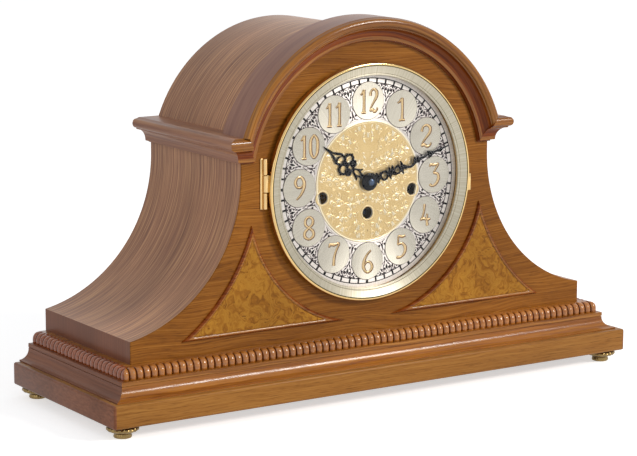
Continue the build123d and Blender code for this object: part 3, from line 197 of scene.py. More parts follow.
class Shape:
    """Gathers points in millimetres and faces, and makes one mesh object of them."""

    def __init__(self):
        self.points = []
        self.grains = []
        self.faces = []
        self.slots = []

    def point(self, place, grain=None):
        self.points.append(Vector(place) * MM)
        self.grains.append(Vector(grain) * MM if grain else None)
        return len(self.points) - 1

    def face(self, corners, slot=0):
        self.faces.append(tuple(corners))
        self.slots.append(slot)

    def net(self, rows, grains=None):
        """Point numbers for rows of places, with their places in the grain where given."""
        grains = grains or [[None] * len(row) for row in rows]
        return [[self.point(*pair) for pair in zip(row, marks)] for row, marks in zip(rows, grains)]

    def weave(self, rows, slot=0, wrap_rows=False, wrap_row=False):
        """Faces between neighbouring rows of point numbers."""
        width = len(rows[0])
        for i in range(len(rows) if wrap_rows else len(rows) - 1):
            here, there = rows[i], rows[(i + 1) % len(rows)]
            for j in range(width if wrap_row else width - 1):
                k = (j + 1) % width
                self.face((here[j], there[j], there[k], here[k]), slot)

    def skin(self, rows, slot=0, wrap_rows=False, wrap_row=False):
        """A woven grid of places; returns the point numbers."""
        numbers = self.net(rows)
        self.weave(numbers, slot, wrap_rows, wrap_row)
        return numbers

    def ends(self, rows, slot=0):
        """Close the two ends of rows that go round."""
        self.face(rows[0], slot)
        self.face(reversed(rows[-1]), slot)

    def run_ends(self, rows):
        """Close the two ends of a run, where each row goes along it."""
        self.face([row[0] for row in rows])
        self.face([row[-1] for row in reversed(rows)])

    def tube(self, *outlines):
        """Walls between closed outlines, each given with its depth."""
        self.skin([[(x, y, z) for x, z in loop] for loop, y in outlines], wrap_row=True)

    def cap(self, loops, level, slot=0, flat=False):
        """A face with holes, from closed loops, at a depth or, when flat, at a height."""
        numbers = [self.point((a, b, level) if flat else (a, level, b)) for loop in loops for a, b in loop]
        for triangle in tessellate_polygon([[Vector((a, b, 0)) for a, b in loop] for loop in loops]):
            self.face([numbers[n] for n in triangle], slot)

    def make(self, name, materials, slot, replaces=(), body="case", angle=32.0, grain=None, close=False):
        """One piece; grain is for points that have none, and close turns all faces outwards."""
        mesh = new_mesh(name, materials)
        mesh.from_pydata([tuple(place) for place in self.points], [], self.faces)
        mesh.polygons.foreach_set("material_index", self.slots)
        marks = []
        for place, mark in zip(self.points, self.grains):
            if mark is None:
                mark = Vector(grain(place / MM)) * MM if grain else place
            marks.append(mark)
        if close:
            work = bmesh.new()
            work.from_mesh(mesh)
            bmesh.ops.recalc_face_normals(work, faces=work.faces)
            work.to_mesh(mesh)
            work.free()
        add_piece(mesh, body, replaces, angle, marks)


def board(name, low, high, bevel, materials, replaces=(), body="case"):
    """A board with rounded edges; a second material, a darker and redder copy of the wood that paints shade,
    covers its ends.
    """
    mesh = new_mesh(name, materials)
    work = bmesh.new()
    bmesh.ops.create_cube(work, size=1.0)
    for vertex in work.verts:
        for axis in range(3):
            vertex.co[axis] = (low[axis] if vertex.co[axis] < 0 else high[axis]) * MM
    bmesh.ops.bevel(work, geom=list(work.edges), offset=bevel * MM, segments=4, profile=0.5, affect="EDGES")
    work.to_mesh(mesh)
    work.free()
    # Faces that look sideways take the second material: painted shade.
    if len(materials) > 1:
        for polygon in mesh.polygons:
            polygon.material_index = 1 if abs(polygon.normal.x) > 0.15 else 0
    add_piece(mesh, body, replaces, 40, [grain_x(vertex.co) for vertex in mesh.vertices])


def width_at(widths, share):
    """Width along a stroke, from a few evenly spaced widths."""
    if len(widths) == 1:
        return widths[0]
    place = share * (len(widths) - 1)
    low = min(int(place), len(widths) - 2)
    return widths[low] + (widths[low + 1] - widths[low]) * (place - low)


def stroke(shape, points, widths, to_place, low, high, slot=0, closed=False):
    """A raised stroke along a plane line: low at its edges and high in its middle."""
    rows = []
    count = len(points)
    shoulder = low + (high - low) * 0.55
    section = ((-1, low), (-1, shoulder), (-0.55, high), (0.55, high), (1, shoulder), (1, low))
    for i, (x, y) in enumerate(points):
        if closed:
            ahead, behind = points[(i + 1) % count], points[i - 1]
        else:
            ahead, behind = points[min(i + 1, count - 1)], points[max(i - 1, 0)]
        dx, dy = ahead[0] - behind[0], ahead[1] - behind[1]
        size = hypot(dx, dy) or 1.0
        half = width_at(widths, i / max(1, count - 1)) / 2
        nx, ny = -dy / size * half, dx / size * half
        rows.append([to_place(x + nx * across, y + ny * across, level) for across, level in section])
    numbers = shape.skin(rows, slot, wrap_rows=closed)
    if not closed:
        shape.ends(numbers, slot)


def turned(shape, profile, to_place, count, slot=0, closed=False):
    """Turn a profile of radius and level; to_place puts two plane measures and a level in their place."""
    rows = [
        [to_place(*polar(radius, tau * i / count), level) for radius, level in profile] for i in range(count)
    ]
    shape.skin(rows, slot, wrap_rows=True, wrap_row=closed)


def lathe(shape, profile, centre, count, slot=0, closed=False):
    """Turn a profile of radius and depth about an axis that faces the front."""
    turned(shape, profile, lambda a, b, y: (centre[0] + a, y, centre[1] + b), count, slot, closed)


# Materials
looks = {}


def tones(colors):
    """Colours for the renderer, from screen colours in hexadecimal."""
    out = []
    for color in colors.split():
        parts = [int(color[i : i + 2], 16) / 255 for i in (1, 3, 5)]
        out.append((*(p / 12.92 if p <= 0.04045 else ((p + 0.055) / 1.055) ** 2.4 for p in parts), 1.0))
    return out


class Nodes:
    """A node tree that is built from empty."""

    def __init__(self, owner):
        owner.use_nodes = True
        self.tree = owner.node_tree
        self.tree.nodes.clear()

    def node(self, kind, **values):
        node = self.tree.nodes.new("ShaderNode" + kind)
        for key, value in values.items():
            setattr(node, key, value)
        return node

    def feed(self, node, name, value):
        """Set a node's input to a number or a colour, or link it."""
        if isinstance(value, (int, float, tuple)):
            node.inputs[name].default_value = value
        else:
            self.tree.links.new(value, node.inputs[name])

    def fed(self, kind, inputs, **values):
        """A new node with its inputs set or linked."""
        node = self.node(kind, **values)
        for name, value in inputs.items():
            self.feed(node, name, value)
        return node

    def math(self, kind, *values):
        return self.fed("Math", dict(enumerate(values)), operation=kind).outputs[0]

    def times(self, value, factor, more=None):
        """A product, with something more added to it where given."""
        if more is None:
            return self.math("MULTIPLY", value, factor)
        return self.math("MULTIPLY_ADD", value, factor, more)

    def seen(self):
        """1 for rays from the camera, off gloss and through glass, else 0."""
        rays = self.node("LightPath").outputs
        direct = self.math("MAXIMUM", rays["Is Camera Ray"], rays["Is Glossy Ray"])
        return self.math("MAXIMUM", direct, rays["Is Transmission Ray"])


class Finish(Nodes):
    """A material with one Principled shader, kept in looks under its name."""

    def __init__(self, name, **settings):
        looks[name] = bpy.data.materials.new(name)
        super().__init__(looks[name])
        self.shader = self.node("BsdfPrincipled")
        self.fed("OutputMaterial", {"Surface": self.shader.outputs[0]})
        for key, value in settings.items():
            self.give(shader_inputs[key], value)

    def give(self, name, value):
        self.feed(self.shader, name, value)

    def parts(self, vector):
        return self.fed("SeparateXYZ", {0: vector}).outputs

    def whole(self, *values):
        return self.fed("CombineXYZ", dict(enumerate(values))).outputs[0]

    def place(self):
        """Places in the object, in metres."""
        return self.node("TexCoord").outputs["Object"]

    def stretch(self, vector, scale, shift=(0, 0, 0)):
        return self.fed("Mapping", {"Vector": vector, "Scale": scale, "Location": shift}).outputs[0]

    def noise(self, vector, scale=None, detail=2.0, rough=0.5, distortion=0.0, shift=(0, 0, 0)):
        """Noise over places; scale is one number or three, and none leaves the places as they are."""
        if scale:
            scale = scale if isinstance(scale, tuple) else (scale, scale, scale)
            vector = self.stretch(vector, scale, shift)
        inputs = {"Scale": 1.0, "Detail": detail, "Roughness": rough, "Distortion": distortion}
        return self.fed("TexNoise", {"Vector": vector, **inputs}).outputs["Fac"]

    def ramp(self, factor, *stops):
        node = self.fed("ValToRGB", {0: factor})
        elements = node.color_ramp.elements
        while len(elements) < len(stops):
            elements.new(0.5)
        for element, (place, color) in zip(elements, stops):
            element.position = place
            element.color = color if isinstance(color, tuple) else (color, color, color, 1)
        return node.outputs[0]

    def mix(self, factor, first, second, blend="MIX"):
        inputs = {0: factor, 6: first, 7: second}
        return self.fed("Mix", inputs, data_type="RGBA", blend_type=blend).outputs[2]

    def bump(self, height, strength, distance):
        inputs = {"Strength": strength, "Distance": distance, "Height": height}
        self.give("Normal", self.fed("Bump", inputs).outputs[0])


shader_inputs = {
    "metal": "Metallic", "rough": "Roughness", "specular": "Specular IOR Level",
    "aniso": "Anisotropic", "turn": "Anisotropic Rotation",
}


def wood(name, colors, upright=False, lines=620.0, flow=8.0, sway=0.006, bend=(14.0, 34.0), contrast=1.0,
         pores=0.6, pore_lines=1300.0, dash=110.0, gloss=0.12, rough=0.30):
    """Lacquered wood: growth lines along the grain, slow colour drift, short dark pores."""
    dark, middle, light, pore = tones(colors)
    finish = Finish(name, rough=rough, specular=gloss)
    base = finish.node("Attribute", attribute_name="grain").outputs["Vector"]
    if upright:
        x, y, z = finish.parts(finish.place())
        base = finish.whole(z, x, y)
    along, across, deep = finish.parts(base)
    drift = finish.noise(base, (5.0, 22.0, 22.0))
    swing = finish.noise(base, (bend[0], bend[1], bend[1]), rough=0.55, shift=(3.1, 0.4, 1.7))
    moved = finish.math("ADD", across, finish.times(finish.math("SUBTRACT", swing, 0.5), sway))

    def stretched(*scales):
        return finish.whole(*(finish.times(part, scale) for part, scale in zip((along, moved, deep), scales)))

    rings = finish.noise(stretched(flow, lines, lines * 0.35), rough=0.6)
    spread = 0.17 / contrast
    color = finish.ramp(rings, (0.5 - spread, dark), (0.5, middle), (0.5 + spread, light))
    slow = finish.ramp(drift, (0.32, (0.80, 0.77, 0.75, 1)), (0.68, (1.15, 1.13, 1.10, 1)))
    color = finish.mix(1.0, color, slow, "MULTIPLY")
    pore_noise = finish.noise(stretched(dash, pore_lines, pore_lines), detail=1.0)
    open_lines = finish.ramp(rings, (0.35, 1.0), (0.62, 0.25))
    mask = finish.times(finish.ramp(pore_noise, (0.56, 0.0), (0.66, 1.0)), open_lines)
    finish.give("Base Color", finish.mix(finish.times(mask, pores), color, pore))
    finish.give("Roughness", finish.times(rings, 0.10, rough - 0.05))
    finish.bump(finish.times(mask, -0.7, finish.times(rings, 0.35)), 0.12, 0.00025)


def make_burl():
    """Burl veneer: soft swirls of gold with groups of small dark eyes."""
    finish = Finish("burl", rough=0.30, specular=0.12)
    base = finish.place()
    x, y, z = finish.parts(base)
    warp_x = finish.noise(base, 38.0, 3.0, 0.6)
    warp_z = finish.noise(base, 38.0, 3.0, 0.6, shift=(4, 7, 2))
    swirl = finish.whole(finish.times(warp_x, 0.06, x), y, finish.times(warp_z, 0.06, z))
    veins = finish.noise(swirl, (205.0, 205.0, 120.0), 4.0, 0.62, 0.6)
    color = finish.ramp(veins, *zip((0.32, 0.44, 0.55, 0.70), tones("#7a4c12 #96621c #ac7a2a #905e18")))
    cell_places = finish.stretch(swirl, (330, 330, 250))
    cells = finish.fed("TexVoronoi", {"Vector": cell_places, "Scale": 1.0}, feature="F1")
    eyes = finish.ramp(cells.outputs["Distance"], (0.12, 1.0), (0.32, 0.0))
    groups = finish.ramp(finish.noise(base, 34.0, shift=(1, 3, 9)), (0.46, 0.0), (0.58, 1.0))
    mask = finish.times(eyes, groups)
    color = finish.mix(finish.times(mask, 0.68), color, tones("#542808")[0])
    clouds = finish.noise(base, 18.0, shift=(8, 1, 5))
    shades = finish.ramp(clouds, (0.35, (0.84, 0.80, 0.76, 1)), (0.65, (1.10, 1.08, 1.02, 1)))
    finish.give("Base Color", finish.mix(1.0, color, shades, "MULTIPLY"))
    finish.bump(finish.times(mask, -1.0, veins), 0.06, 0.0002)


def metal(name, colors, rough, strength=0.05, wear=0.5):
    """Metal with faint brushing and slow tarnish."""
    color, shade = tones(colors)
    finish = Finish(name, metal=1.0, rough=rough)
    base = finish.place()
    slow = finish.noise(base, 90.0, 3.0, 0.6)
    finish.give("Base Color", finish.mix(finish.times(slow, wear), color, shade))
    finish.give("Roughness", finish.times(slow, 0.14, rough - 0.05))
    finish.bump(finish.noise(base, (40.0, 900.0, 40.0)), strength, 0.0001)


def spun_silver(name, colors, rough, aniso):
    """Silvered metal brushed in rays about the dial's centre."""
    light, shade = tones(colors)
    finish = Finish(name, metal=1.0, rough=rough, aniso=aniso, turn=0.25)
    x, y, z = finish.parts(finish.place())
    angle = finish.math("ARCTAN2", finish.math("SUBTRACT", z, dial_z * MM), x)
    rays = finish.noise(finish.whole(finish.times(angle, 60.0), 0.0, 0.0), detail=3.0, rough=0.7)
    finish.give("Base Color", finish.ramp(rays, (0.3, shade), (0.7, light)))
    finish.give("Tangent", finish.node("Tangent", direction_type="RADIAL", axis="Y").outputs[0])


def gilding(name, colors, rough):
    """Gilt metal with a fine hammered ground."""
    finish = Finish(name, metal=0.85, rough=rough)
    base = finish.place()
    finish.give("Base Color", finish.mix(finish.noise(base, 120.0), *tones(colors)))
    finish.bump(finish.noise(base, 900.0, 3.0, 0.7), 0.35, 0.0002)


def paint(name, colors, rough=0.5, gloss=0.1):
    """Enamel or ink, slightly uneven."""
    finish = Finish(name, rough=rough, specular=gloss)
    slow = finish.noise(finish.place(), 400.0)
    finish.give("Base Color", finish.mix(slow, *tones(colors)))
    finish.bump(slow, 0.03, 0.0001)


def glass(name, level, rise):
    """Clear domed glass: see-through, with a reflection that grows towards grazing angles."""
    finish = Finish(name, metal=1.0, rough=0.02)
    finish.give("Base Color", (1, 1, 1, 1))
    weight = finish.fed("LayerWeight", {"Blend": 0.5})
    grazing = finish.math("POWER", weight.outputs["Facing"], 5.0)
    clear = finish.times(finish.noise(finish.place(), 30.0), 0.006, level - 0.003)
    finish.give("Alpha", finish.times(grazing, rise, clear))


wood("oak_front", "#704010 #88541a #a26c2c #502a0a", sway=0.045, bend=(5.0, 12.0), lines=1250.0, flow=20.0,
     contrast=0.62, pores=0.5)
wood("oak_arch", "#703e0e #905a1c #ac7430 #542a0a", contrast=0.75, pores=0.4, gloss=0.3, rough=0.2)
wood("oak_plinth", "#7e501e #94642e #a6763a #5e3612", lines=1500.0, flow=22.0, contrast=0.6, pores=0.5)
# Side veneer: the wood's own colour with a purplish cast painted in, standing in for the reflection on the
# side faces.
wood("oak_side_veneer_and_cast", "#825a46 #aa7c5e #cea076 #6c4838", lines=760.0, flow=14.0, sway=0.004, dash=70.0,
     contrast=0.8, pores=0.35, pore_lines=1000.0)
# Purple-grey copy of the arch wood for its outer face: painted shade with a painted cast.
wood("oak_arch_side_shaded", "#805a4e #966e5f #a47c66 #68483c", lines=420.0, sway=0.004, contrast=0.6, pores=0.25)
# Purple-brown copy of the wood for the capitals' side runs, tops and ends: painted shade with a painted cast.
wood("oak_capital_side_shaded", "#8a5e4a #a6765c #bc8c6a #704838", lines=560.0, sway=0.005, contrast=0.7, pores=0.35)
wood("oak_block", "#643824 #784830 #88563a #522c1c", lines=900.0, contrast=0.4, pores=0.25)
# Darker, redder copy for faces that look sideways: the plinth and shelf ends, the cove's side runs and the
# lowest rim. Painted shade.
wood("oak_shaded_sides", "#6a3e2a #82523a #946246 #543020", lines=640.0, sway=0.004, contrast=0.5, pores=0.25)
# Dark red wood for the walls and hollows of the arch and capitals and the outer walls of the burl borders:
# painted shade.
wood("trim_red_shade", "#5c2406 #7e3c0e #945018 #3e1604", contrast=0.7, pores=0.4, gloss=0.15, rough=0.15)
wood("trim_base", "#764010 #965c1e #ac722e #582a0c", contrast=0.7, pores=0.4, gloss=0.3, rough=0.2)
wood("rope_wood", "#8c521a #a46626 #ba7a34 #6c3a12", contrast=0.5, pores=0.25, gloss=0.6, rough=0.12)
# Redder copy of the rope wood for its side runs: painted shade.
wood("rope_left", "#7c3c18 #944c22 #a65c2c #602c12", contrast=0.5, pores=0.25, gloss=0.6, rough=0.12)
# Dark wood for the grooves between the rope's lobes: painted shade.
wood("rope_groove_shade", "#5a2a0c #6e3612 #7e421a #421c08", contrast=0.5, pores=0.25, gloss=0.1, rough=0.4)
wood("oak_back", "#684220 #865a30 #9a6e3e #4a2c16", upright=True, lines=420.0, sway=0.010, contrast=0.8,
     pores=0.4, gloss=0.1, rough=0.5)
make_burl()
metal("brass", "#d6b880 #b08c58", rough=0.10, strength=0.03)
metal("hinge_brass", "#daba84 #aa8658", rough=0.16, strength=0.03)
# Dark brass for the bezel's groove and ledge: patina, with painted shade for their darker reflection.
metal("bezel_patina_and_shade", "#746c50 #544c36", rough=0.2, strength=0.03)
metal("foot_brass", "#a68e5e #544024", rough=0.2, wear=1.0)
metal("movement_brass", "#d4b268 #b28846", rough=0.26)
metal("steel", "#bcbec2 #8c8e92", rough=0.25)
# Dark steel for the winding arbors: painted shade for the recess behind the winding holes.
metal("arbor_steel_shade", "#282a30 #18181c", rough=0.4)
metal("iron", "#606062 #3c3c3e", rough=0.45)
metal("nut_blue", "#4a586e #2c3648", rough=0.18)
spun_silver("dial_silver", "#ded8d2 #c0bab4", 0.5, 0.7)
spun_silver("disc_silver", "#c0bbae #aaa599", 0.5, 0.7)
spun_silver("bezel_slope", "#bcb5a4 #98917e", 0.42, 0.8)
gilding("gilt", "#c4ac7c #b29868", 0.40)
gilding("gilt_pale", "#dac69a #c8b080", 0.32)
gilding("gilt_silver", "#e4dac0 #cec2a2", 0.30)
gilding("numeral_gold", "#ceb488 #b0946a", 0.28)
paint("dial_ink", "#0a0808 #141010")
paint("dial_ink_grey", "#3a2e32 #5c4e52")
paint("numeral_shadow", "#5c3c22 #745032")
paint("hand_black", "#040508 #0a0d14", 0.25, 0.06)
glass("dial_glass", 0.012, 0.8)
glass("glass_inside", 0.004, 0.1)


# Case outline
def side_path(inset):
    """Points of the right-hand outline from the base board up to the hood."""
    radius = flare_radius + inset
    reach = flare_x - case_half + inset
    start_z = flare_z - sqrt(radius**2 - reach**2)
    start_turn = atan2(flare_z - start_z, reach)
    flare = arc((flare_x, flare_z), -radius, start_turn, -start_turn, 56)
    flare[0] = (case_half - inset, start_z)
    return [(case_half - inset, board_top)] + flare + [(waist_half - inset, hood_joint)]


def case_loop(inset):
    """The closed front outline, counter-clockwise seen from the front."""
    right = side_path(inset)
    radius = hood_radius - inset
    rise = hood_joint - arch_z
    start = atan2(rise, sqrt(radius**2 - rise**2))
    hood = arc((0, arch_z), radius, start, pi - 2 * start, 96)
    return right + hood + [(-x, z) for x, z in reversed(right)]


def burl_loop(inset, side):
    """Outline of a corner panel at an inset: outer arc down, bottom line, inner arc up."""
    outer = burl_outer + inset
    inner = burl_inner + inset
    bottom = burl_foot + inset
    rise = burl_outer_z - dial_z
    span = hypot(burl_outer_x, rise)
    along = (inner**2 - outer**2 + span**2) / (2 * span)
    off = sqrt(inner**2 - along**2)
    tip_x = (burl_outer_x * along + rise * off) / span
    tip_z = dial_z + (rise * along - burl_outer_x * off) / span
    foot_out = burl_outer_x - sqrt(outer**2 - (burl_outer_z - bottom) ** 2)
    foot_in = sqrt(inner**2 - (dial_z - bottom) ** 2)
    count = 40
    start = atan2(burl_outer_z - tip_z, burl_outer_x - tip_x)
    end = atan2(burl_outer_z - bottom, burl_outer_x - foot_out)
    down = arc((burl_outer_x, burl_outer_z), -outer, start, end - start, count)
    across = [(foot_out + (foot_in - foot_out) * (i / count), bottom) for i in range(count)]
    start = -atan2(dial_z - bottom, foot_in)
    up = arc((0, dial_z), inner, start, -atan2(dial_z - tip_z, tip_x) - start, count)
    return [(side * x, z) for x, z in down[:-1] + across + up[:-1]]


def make_front_panel():
    """Front face, rounded edge, and a rim that continues the side veneer."""
    shape = Shape()
    edge = 0.7
    loop = case_loop(0)
    turns = [step / 3 * pi / 2 for step in range(4)]
    shape.tube(*((case_loop(edge * (1 - cos(turn))), case_front + edge * (1 - sin(turn))) for turn in turns))
    near, far = (
        [shape.point((x, y, z), (length, y, 0)) for (x, z), length in zip(loop, run_lengths(loop))]
        for y in (case_front + edge, panel_back)
    )
    for j in range(len(loop)):
        k = (j + 1) % len(loop)
        # The upright lowest rim segments take the darker, redder copy, painted shade; the rest of the rim
        # takes the side veneer with its painted cast.
        slot = 2 if j in (0, len(loop) - 2) else 1
        shape.face((near[j], far[j], far[k], near[k]), slot)
    hole = circle((0, dial_z), dial_hole, 128)
    shape.cap([case_loop(edge), hole], case_front)
    shape.cap([loop, hole], panel_back)
    shape.tube((hole, case_front), (hole, panel_back))
    shape.make("front_board", ["oak_front", "oak_side_veneer_and_cast", "oak_shaded_sides"], "oak_front", ["front_panel"],
               grain=grain_x)


def make_burl_panels():
    """Two burl fields, each in its rounded border."""
    border = [
        (0.0, 0.0), (0.06, 0.42), (0.17, 0.70), (0.32, 0.90), (0.50, 1.0), (0.68, 0.99), (0.85, 0.93),
        (1.0, 0.80), (1.0, 0.0),
    ]
    for hand, side in sides.items():
        shape = Shape()
        rows = shape.net([
            [(x, case_front - up * bead_height, z) for x, z in burl_loop(across * bead_width, side)]
            for across, up in border
        ])
        # The outer walls take the dark red wood, painted shade; the crest, inner wall and foot take the
        # golden wood.
        shape.weave(rows[:5], 0, wrap_row=True)
        shape.weave(rows[4:] + rows[:1], 1, wrap_row=True)
        shape.make(f"burl_border_{hand}", ["trim_red_shade", "oak_arch"], "trim_wood", [f"burl_bead_{hand}"],
                   grain=grain_x, angle=38, close=True)
        panel = Shape()
        loop = burl_loop(bead_width + 0.05, side)
        inner = burl_loop(bead_width + 0.45, side)
        top = case_front - burl_height
        panel.tube((loop, case_front), (loop, top + 0.3), (inner, top))
        panel.cap([inner], top)
        panel.cap([loop], case_front)
        panel.make(f"burl_field_{hand}", ["burl"], "burl", [f"burl_panel_{hand}"])


def bend(shape, outside, inside, lengths):
    """Point numbers of a bent board between two outlines, its rear edge eased and its grain along it."""
    rows = []
    marks = []
    for (ox, oz), (ix, iz), length in zip(outside, inside, lengths):
        row = [
            (ox, panel_back, oz),
            (ox, case_back - ease, oz),
            (ox + (ix - ox) * ease / skin, case_back, oz + (iz - oz) * ease / skin),
            (ix, case_back, iz),
            (ix, panel_back, iz),
        ]
        rows.append(row)
        marks.append([(length, place[1], 0 if k < 3 else 9) for k, place in enumerate(row)])
    return shape.net(rows, marks)


def make_sides():
    """Bent sides; the upright lowest part is coloured darker and redder than the rest."""
    for hand, side in sides.items():
        shape = Shape()
        outside, inside = ([(side * x, z) for x, z in side_path(inset)] for inset in (0, skin))
        rows = bend(shape, outside, inside, run_lengths(outside))
        shape.weave(rows[:2], 1, wrap_row=True)
        shape.weave(rows[1:], 0, wrap_row=True)
        shape.ends(rows)
        shape.make(f"bent_side_{hand}", ["oak_side_veneer_and_cast", "oak_block"], "oak_case", [f"side_{hand}"], close=True)


def make_hood():
    shape = Shape()
    start = asin((hood_joint - arch_z) / hood_radius)
    turn = pi - 2 * start
    count = 110
    outside = arc((0, arch_z), hood_radius, start, turn, count)
    inside = arc((0, arch_z), hood_radius - skin, start, turn, count)
    rows = bend(shape, outside, inside, [hood_radius * (start + turn * i / count) for i in range(count + 1)])
    shape.weave(rows, wrap_row=True)
    shape.ends(rows)
    shape.make("bent_hood", ["oak_side_veneer_and_cast"], "oak_case", ["hood"], close=True)


# Arch and capitals
def section():
    """The moulding's section, as shares of its height and of its projection."""
    points = [
        (0.0, 0.0), (0.0, 0.09), (0.005, 0.10), (0.055, 0.10), (0.06, 0.105), (0.06, 0.27), (0.065, 0.28),
        (0.20, 0.30),
    ]
    points += three_point_arc((0.20, 0.30), (0.42, 0.44), (0.54, 0.78), 9)
    points += [(0.60, 0.80)]
    points += three_point_arc((0.60, 0.80), (0.77, 1.0), (0.95, 0.80), 12)
    return points + [(0.985, 0.68), (1.0, 0.62)]


def weave_section(shape, rows):
    """Faces of the section: dark red walls and hollow, golden lip and nose; the dark red is painted shade."""
    for first, last, slot in ((0, 6, 2), (6, 7, 0), (7, 16, 2), (16, 31, 0)):
        shape.weave(rows[first : last + 1], slot)


mitre_foot = sqrt(arch_inner**2 - (capital_bottom - arch_z) ** 2)
mitre_slope = (hood_radius - mitre_foot) / capital_height


def mitre_x(z):
    """Where the joint between the arch and a capital's front return lies at a height."""
    return mitre_foot + mitre_slope * (z - capital_bottom)


def arch_start(radius):
    """Angle at which the arch begins at a radius: on the mitre, or on the capital's top."""
    a = mitre_slope**2 + 1
    offset = mitre_x(arch_z)
    b = 2 * mitre_slope * offset
    rise = (-b + sqrt(b * b - 4 * a * (offset**2 - radius**2))) / (2 * a)
    return asin(min(rise, capital_top - arch_z) / radius)


def make_arch():
    shape = Shape()
    width = arch_outer - arch_inner
    face = [(arch_inner + along * width, case_front - out * arch_out) for along, out in section()]
    back = [(arch_outer, arch_back + ease), (arch_outer - ease, arch_back), (hood_radius, arch_back),
            (hood_radius, case_front)]
    starts = [arch_start(radius) for radius, y in face]
    starts += [asin((capital_top - arch_z) / radius) for radius, y in back]
    count = 150
    rows = []
    for (radius, y), start in zip(face + back, starts):
        row = []
        for i in range(count + 1):
            angle = start + (pi - 2 * start) * i / count
            x, z = polar(radius, angle, (0, arch_z))
            row.append(shape.point((x, y, z), (hood_radius * angle, radius * 0.9, y)))
        rows.append(row)
    weave_section(shape, rows)
    outer_rows = rows[len(face) - 1 :]
    # The outer face and back take the purple-grey copy: painted shade.
    copies = [[shape.point(shape.points[n] / MM, shape.grains[n] / MM) for n in row] for row in outer_rows]
    shape.weave(copies, 1)
    shape.weave([rows[-1], rows[0]])
    shape.run_ends(rows)
    shape.make("arch_front_moulding", ["oak_arch", "oak_arch_side_shaded", "trim_red_shade"], "trim_wood",
               ["arch_moulding"], angle=28)


def make_capitals():
    """Level capitals: each returns along its side, and its front meets the arch on the mitre."""
    chord = sqrt(hood_radius**2 - (capital_top - arch_z) ** 2)
    for hand, side in sides.items():
        shape = Shape()
        profile = []
        for along, out in section():
            z = capital_bottom + along * capital_height
            profile.append((waist_half + out * capital_out, case_front - out * arch_out, z))
        depths = (case_back, case_back - 40)
        # The side run, the top and the end take the purple-brown copy: painted shade.
        shape.skin([[(side * x, depth, z) for depth in (*depths, y)] for x, y, z in profile], 1)
        front = [[(side * x, y, z), (side * mitre_x(z), y, z)] for x, y, z in profile]
        front = shape.net(front, [[grain_x(place) for place in row] for row in front])
        weave_section(shape, front)
        inner_top = (side * mitre_x(capital_top), case_front, capital_top)
        shape.face([row[1] for row in front] + [shape.point(inner_top, (0, capital_top, 0))], 2)
        x, y, z = profile[-1]
        top = [(chord, case_back), (x, case_back), (x, y), (hood_radius, y), (hood_radius, case_front),
               (chord, case_front)]
        shape.cap([[(side * a, b) for a, b in top]], capital_top, 1, flat=True)
        end = [(x, z) for x, y, z in profile]
        end += [(chord, capital_top), (chord, hood_joint), (waist_half, hood_joint)]
        shape.cap([[(side * a, b) for a, b in end]], case_back, 1)
        shape.make(f"capital_moulding_{hand}", ["oak_arch", "oak_capital_side_shaded", "trim_red_shade"], "trim_wood",
                   [f"capital_{hand}"], angle=28, grain=grain_y)


# Base
def make_boards():
    board("plinth_board", (-plinth_half, -depth_half, foot_height), (plinth_half, depth_half, plinth_top),
          1.6, ["oak_plinth", "oak_shaded_sides"], ["plinth"])
    board("base_shelf", (-rope_x, rope_y, ledge_level), (rope_x, depth_half, board_top), 0.7,
          ["trim_base", "oak_shaded_sides"], ["base_board"])


def run_grain(run):
    return grain_x if run == "front" else grain_y


def make_cove(run):
    """Hollow moulding on the plinth, cut on the mitre at the front corners."""
    shape = Shape()
    foot, reach, lip, rise = 5.0, 7.6, 1.0, 9.2
    middle = (foot + reach * 0.72, lip + (rise - lip) * 0.28)
    profile = [(foot, 0.0), (foot, 0.75), (foot + 0.25, lip)]
    profile += three_point_arc((foot + 0.25, lip), middle, (foot + reach, rise), 10)
    edge = foot + reach
    profile += [(edge + 0.5, rise + 0.1), (edge + 0.5, rise + 0.35), (edge - 0.1, rise + 0.5)]
    profile += [(edge - 0.1, 12.2), (edge + 0.2, 12.5), (31.0, 12.5), (31.0, 0.0)]
    rows = []
    for inward, up in profile:
        height = plinth_top + up
        if run == "front":
            end = plinth_half - inward
            rows.append([(-end + 2 * end * i / 24, -depth_half + inward, height) for i in range(25)])
        else:
            start = -depth_half + inward
            x = sides[run] * (plinth_half - inward)
            rows.append([(x, start + (depth_half - start) * i / 10, height) for i in range(11)])
    numbers = shape.net(rows)
    shape.weave(numbers[:14], 0)
    shape.weave(numbers[13:] + numbers[:1], 1)
    shape.run_ends(numbers)
    # The side runs take the darker, redder copy throughout: painted shade.
    woods = ["trim_base", "oak_arch"] if run == "front" else ["oak_shaded_sides", "oak_shaded_sides"]
    shape.make(f"cove_{run}", woods, "trim_wood", [f"base_cove_{run}"], grain=run_grain(run), angle=26,
               close=True)


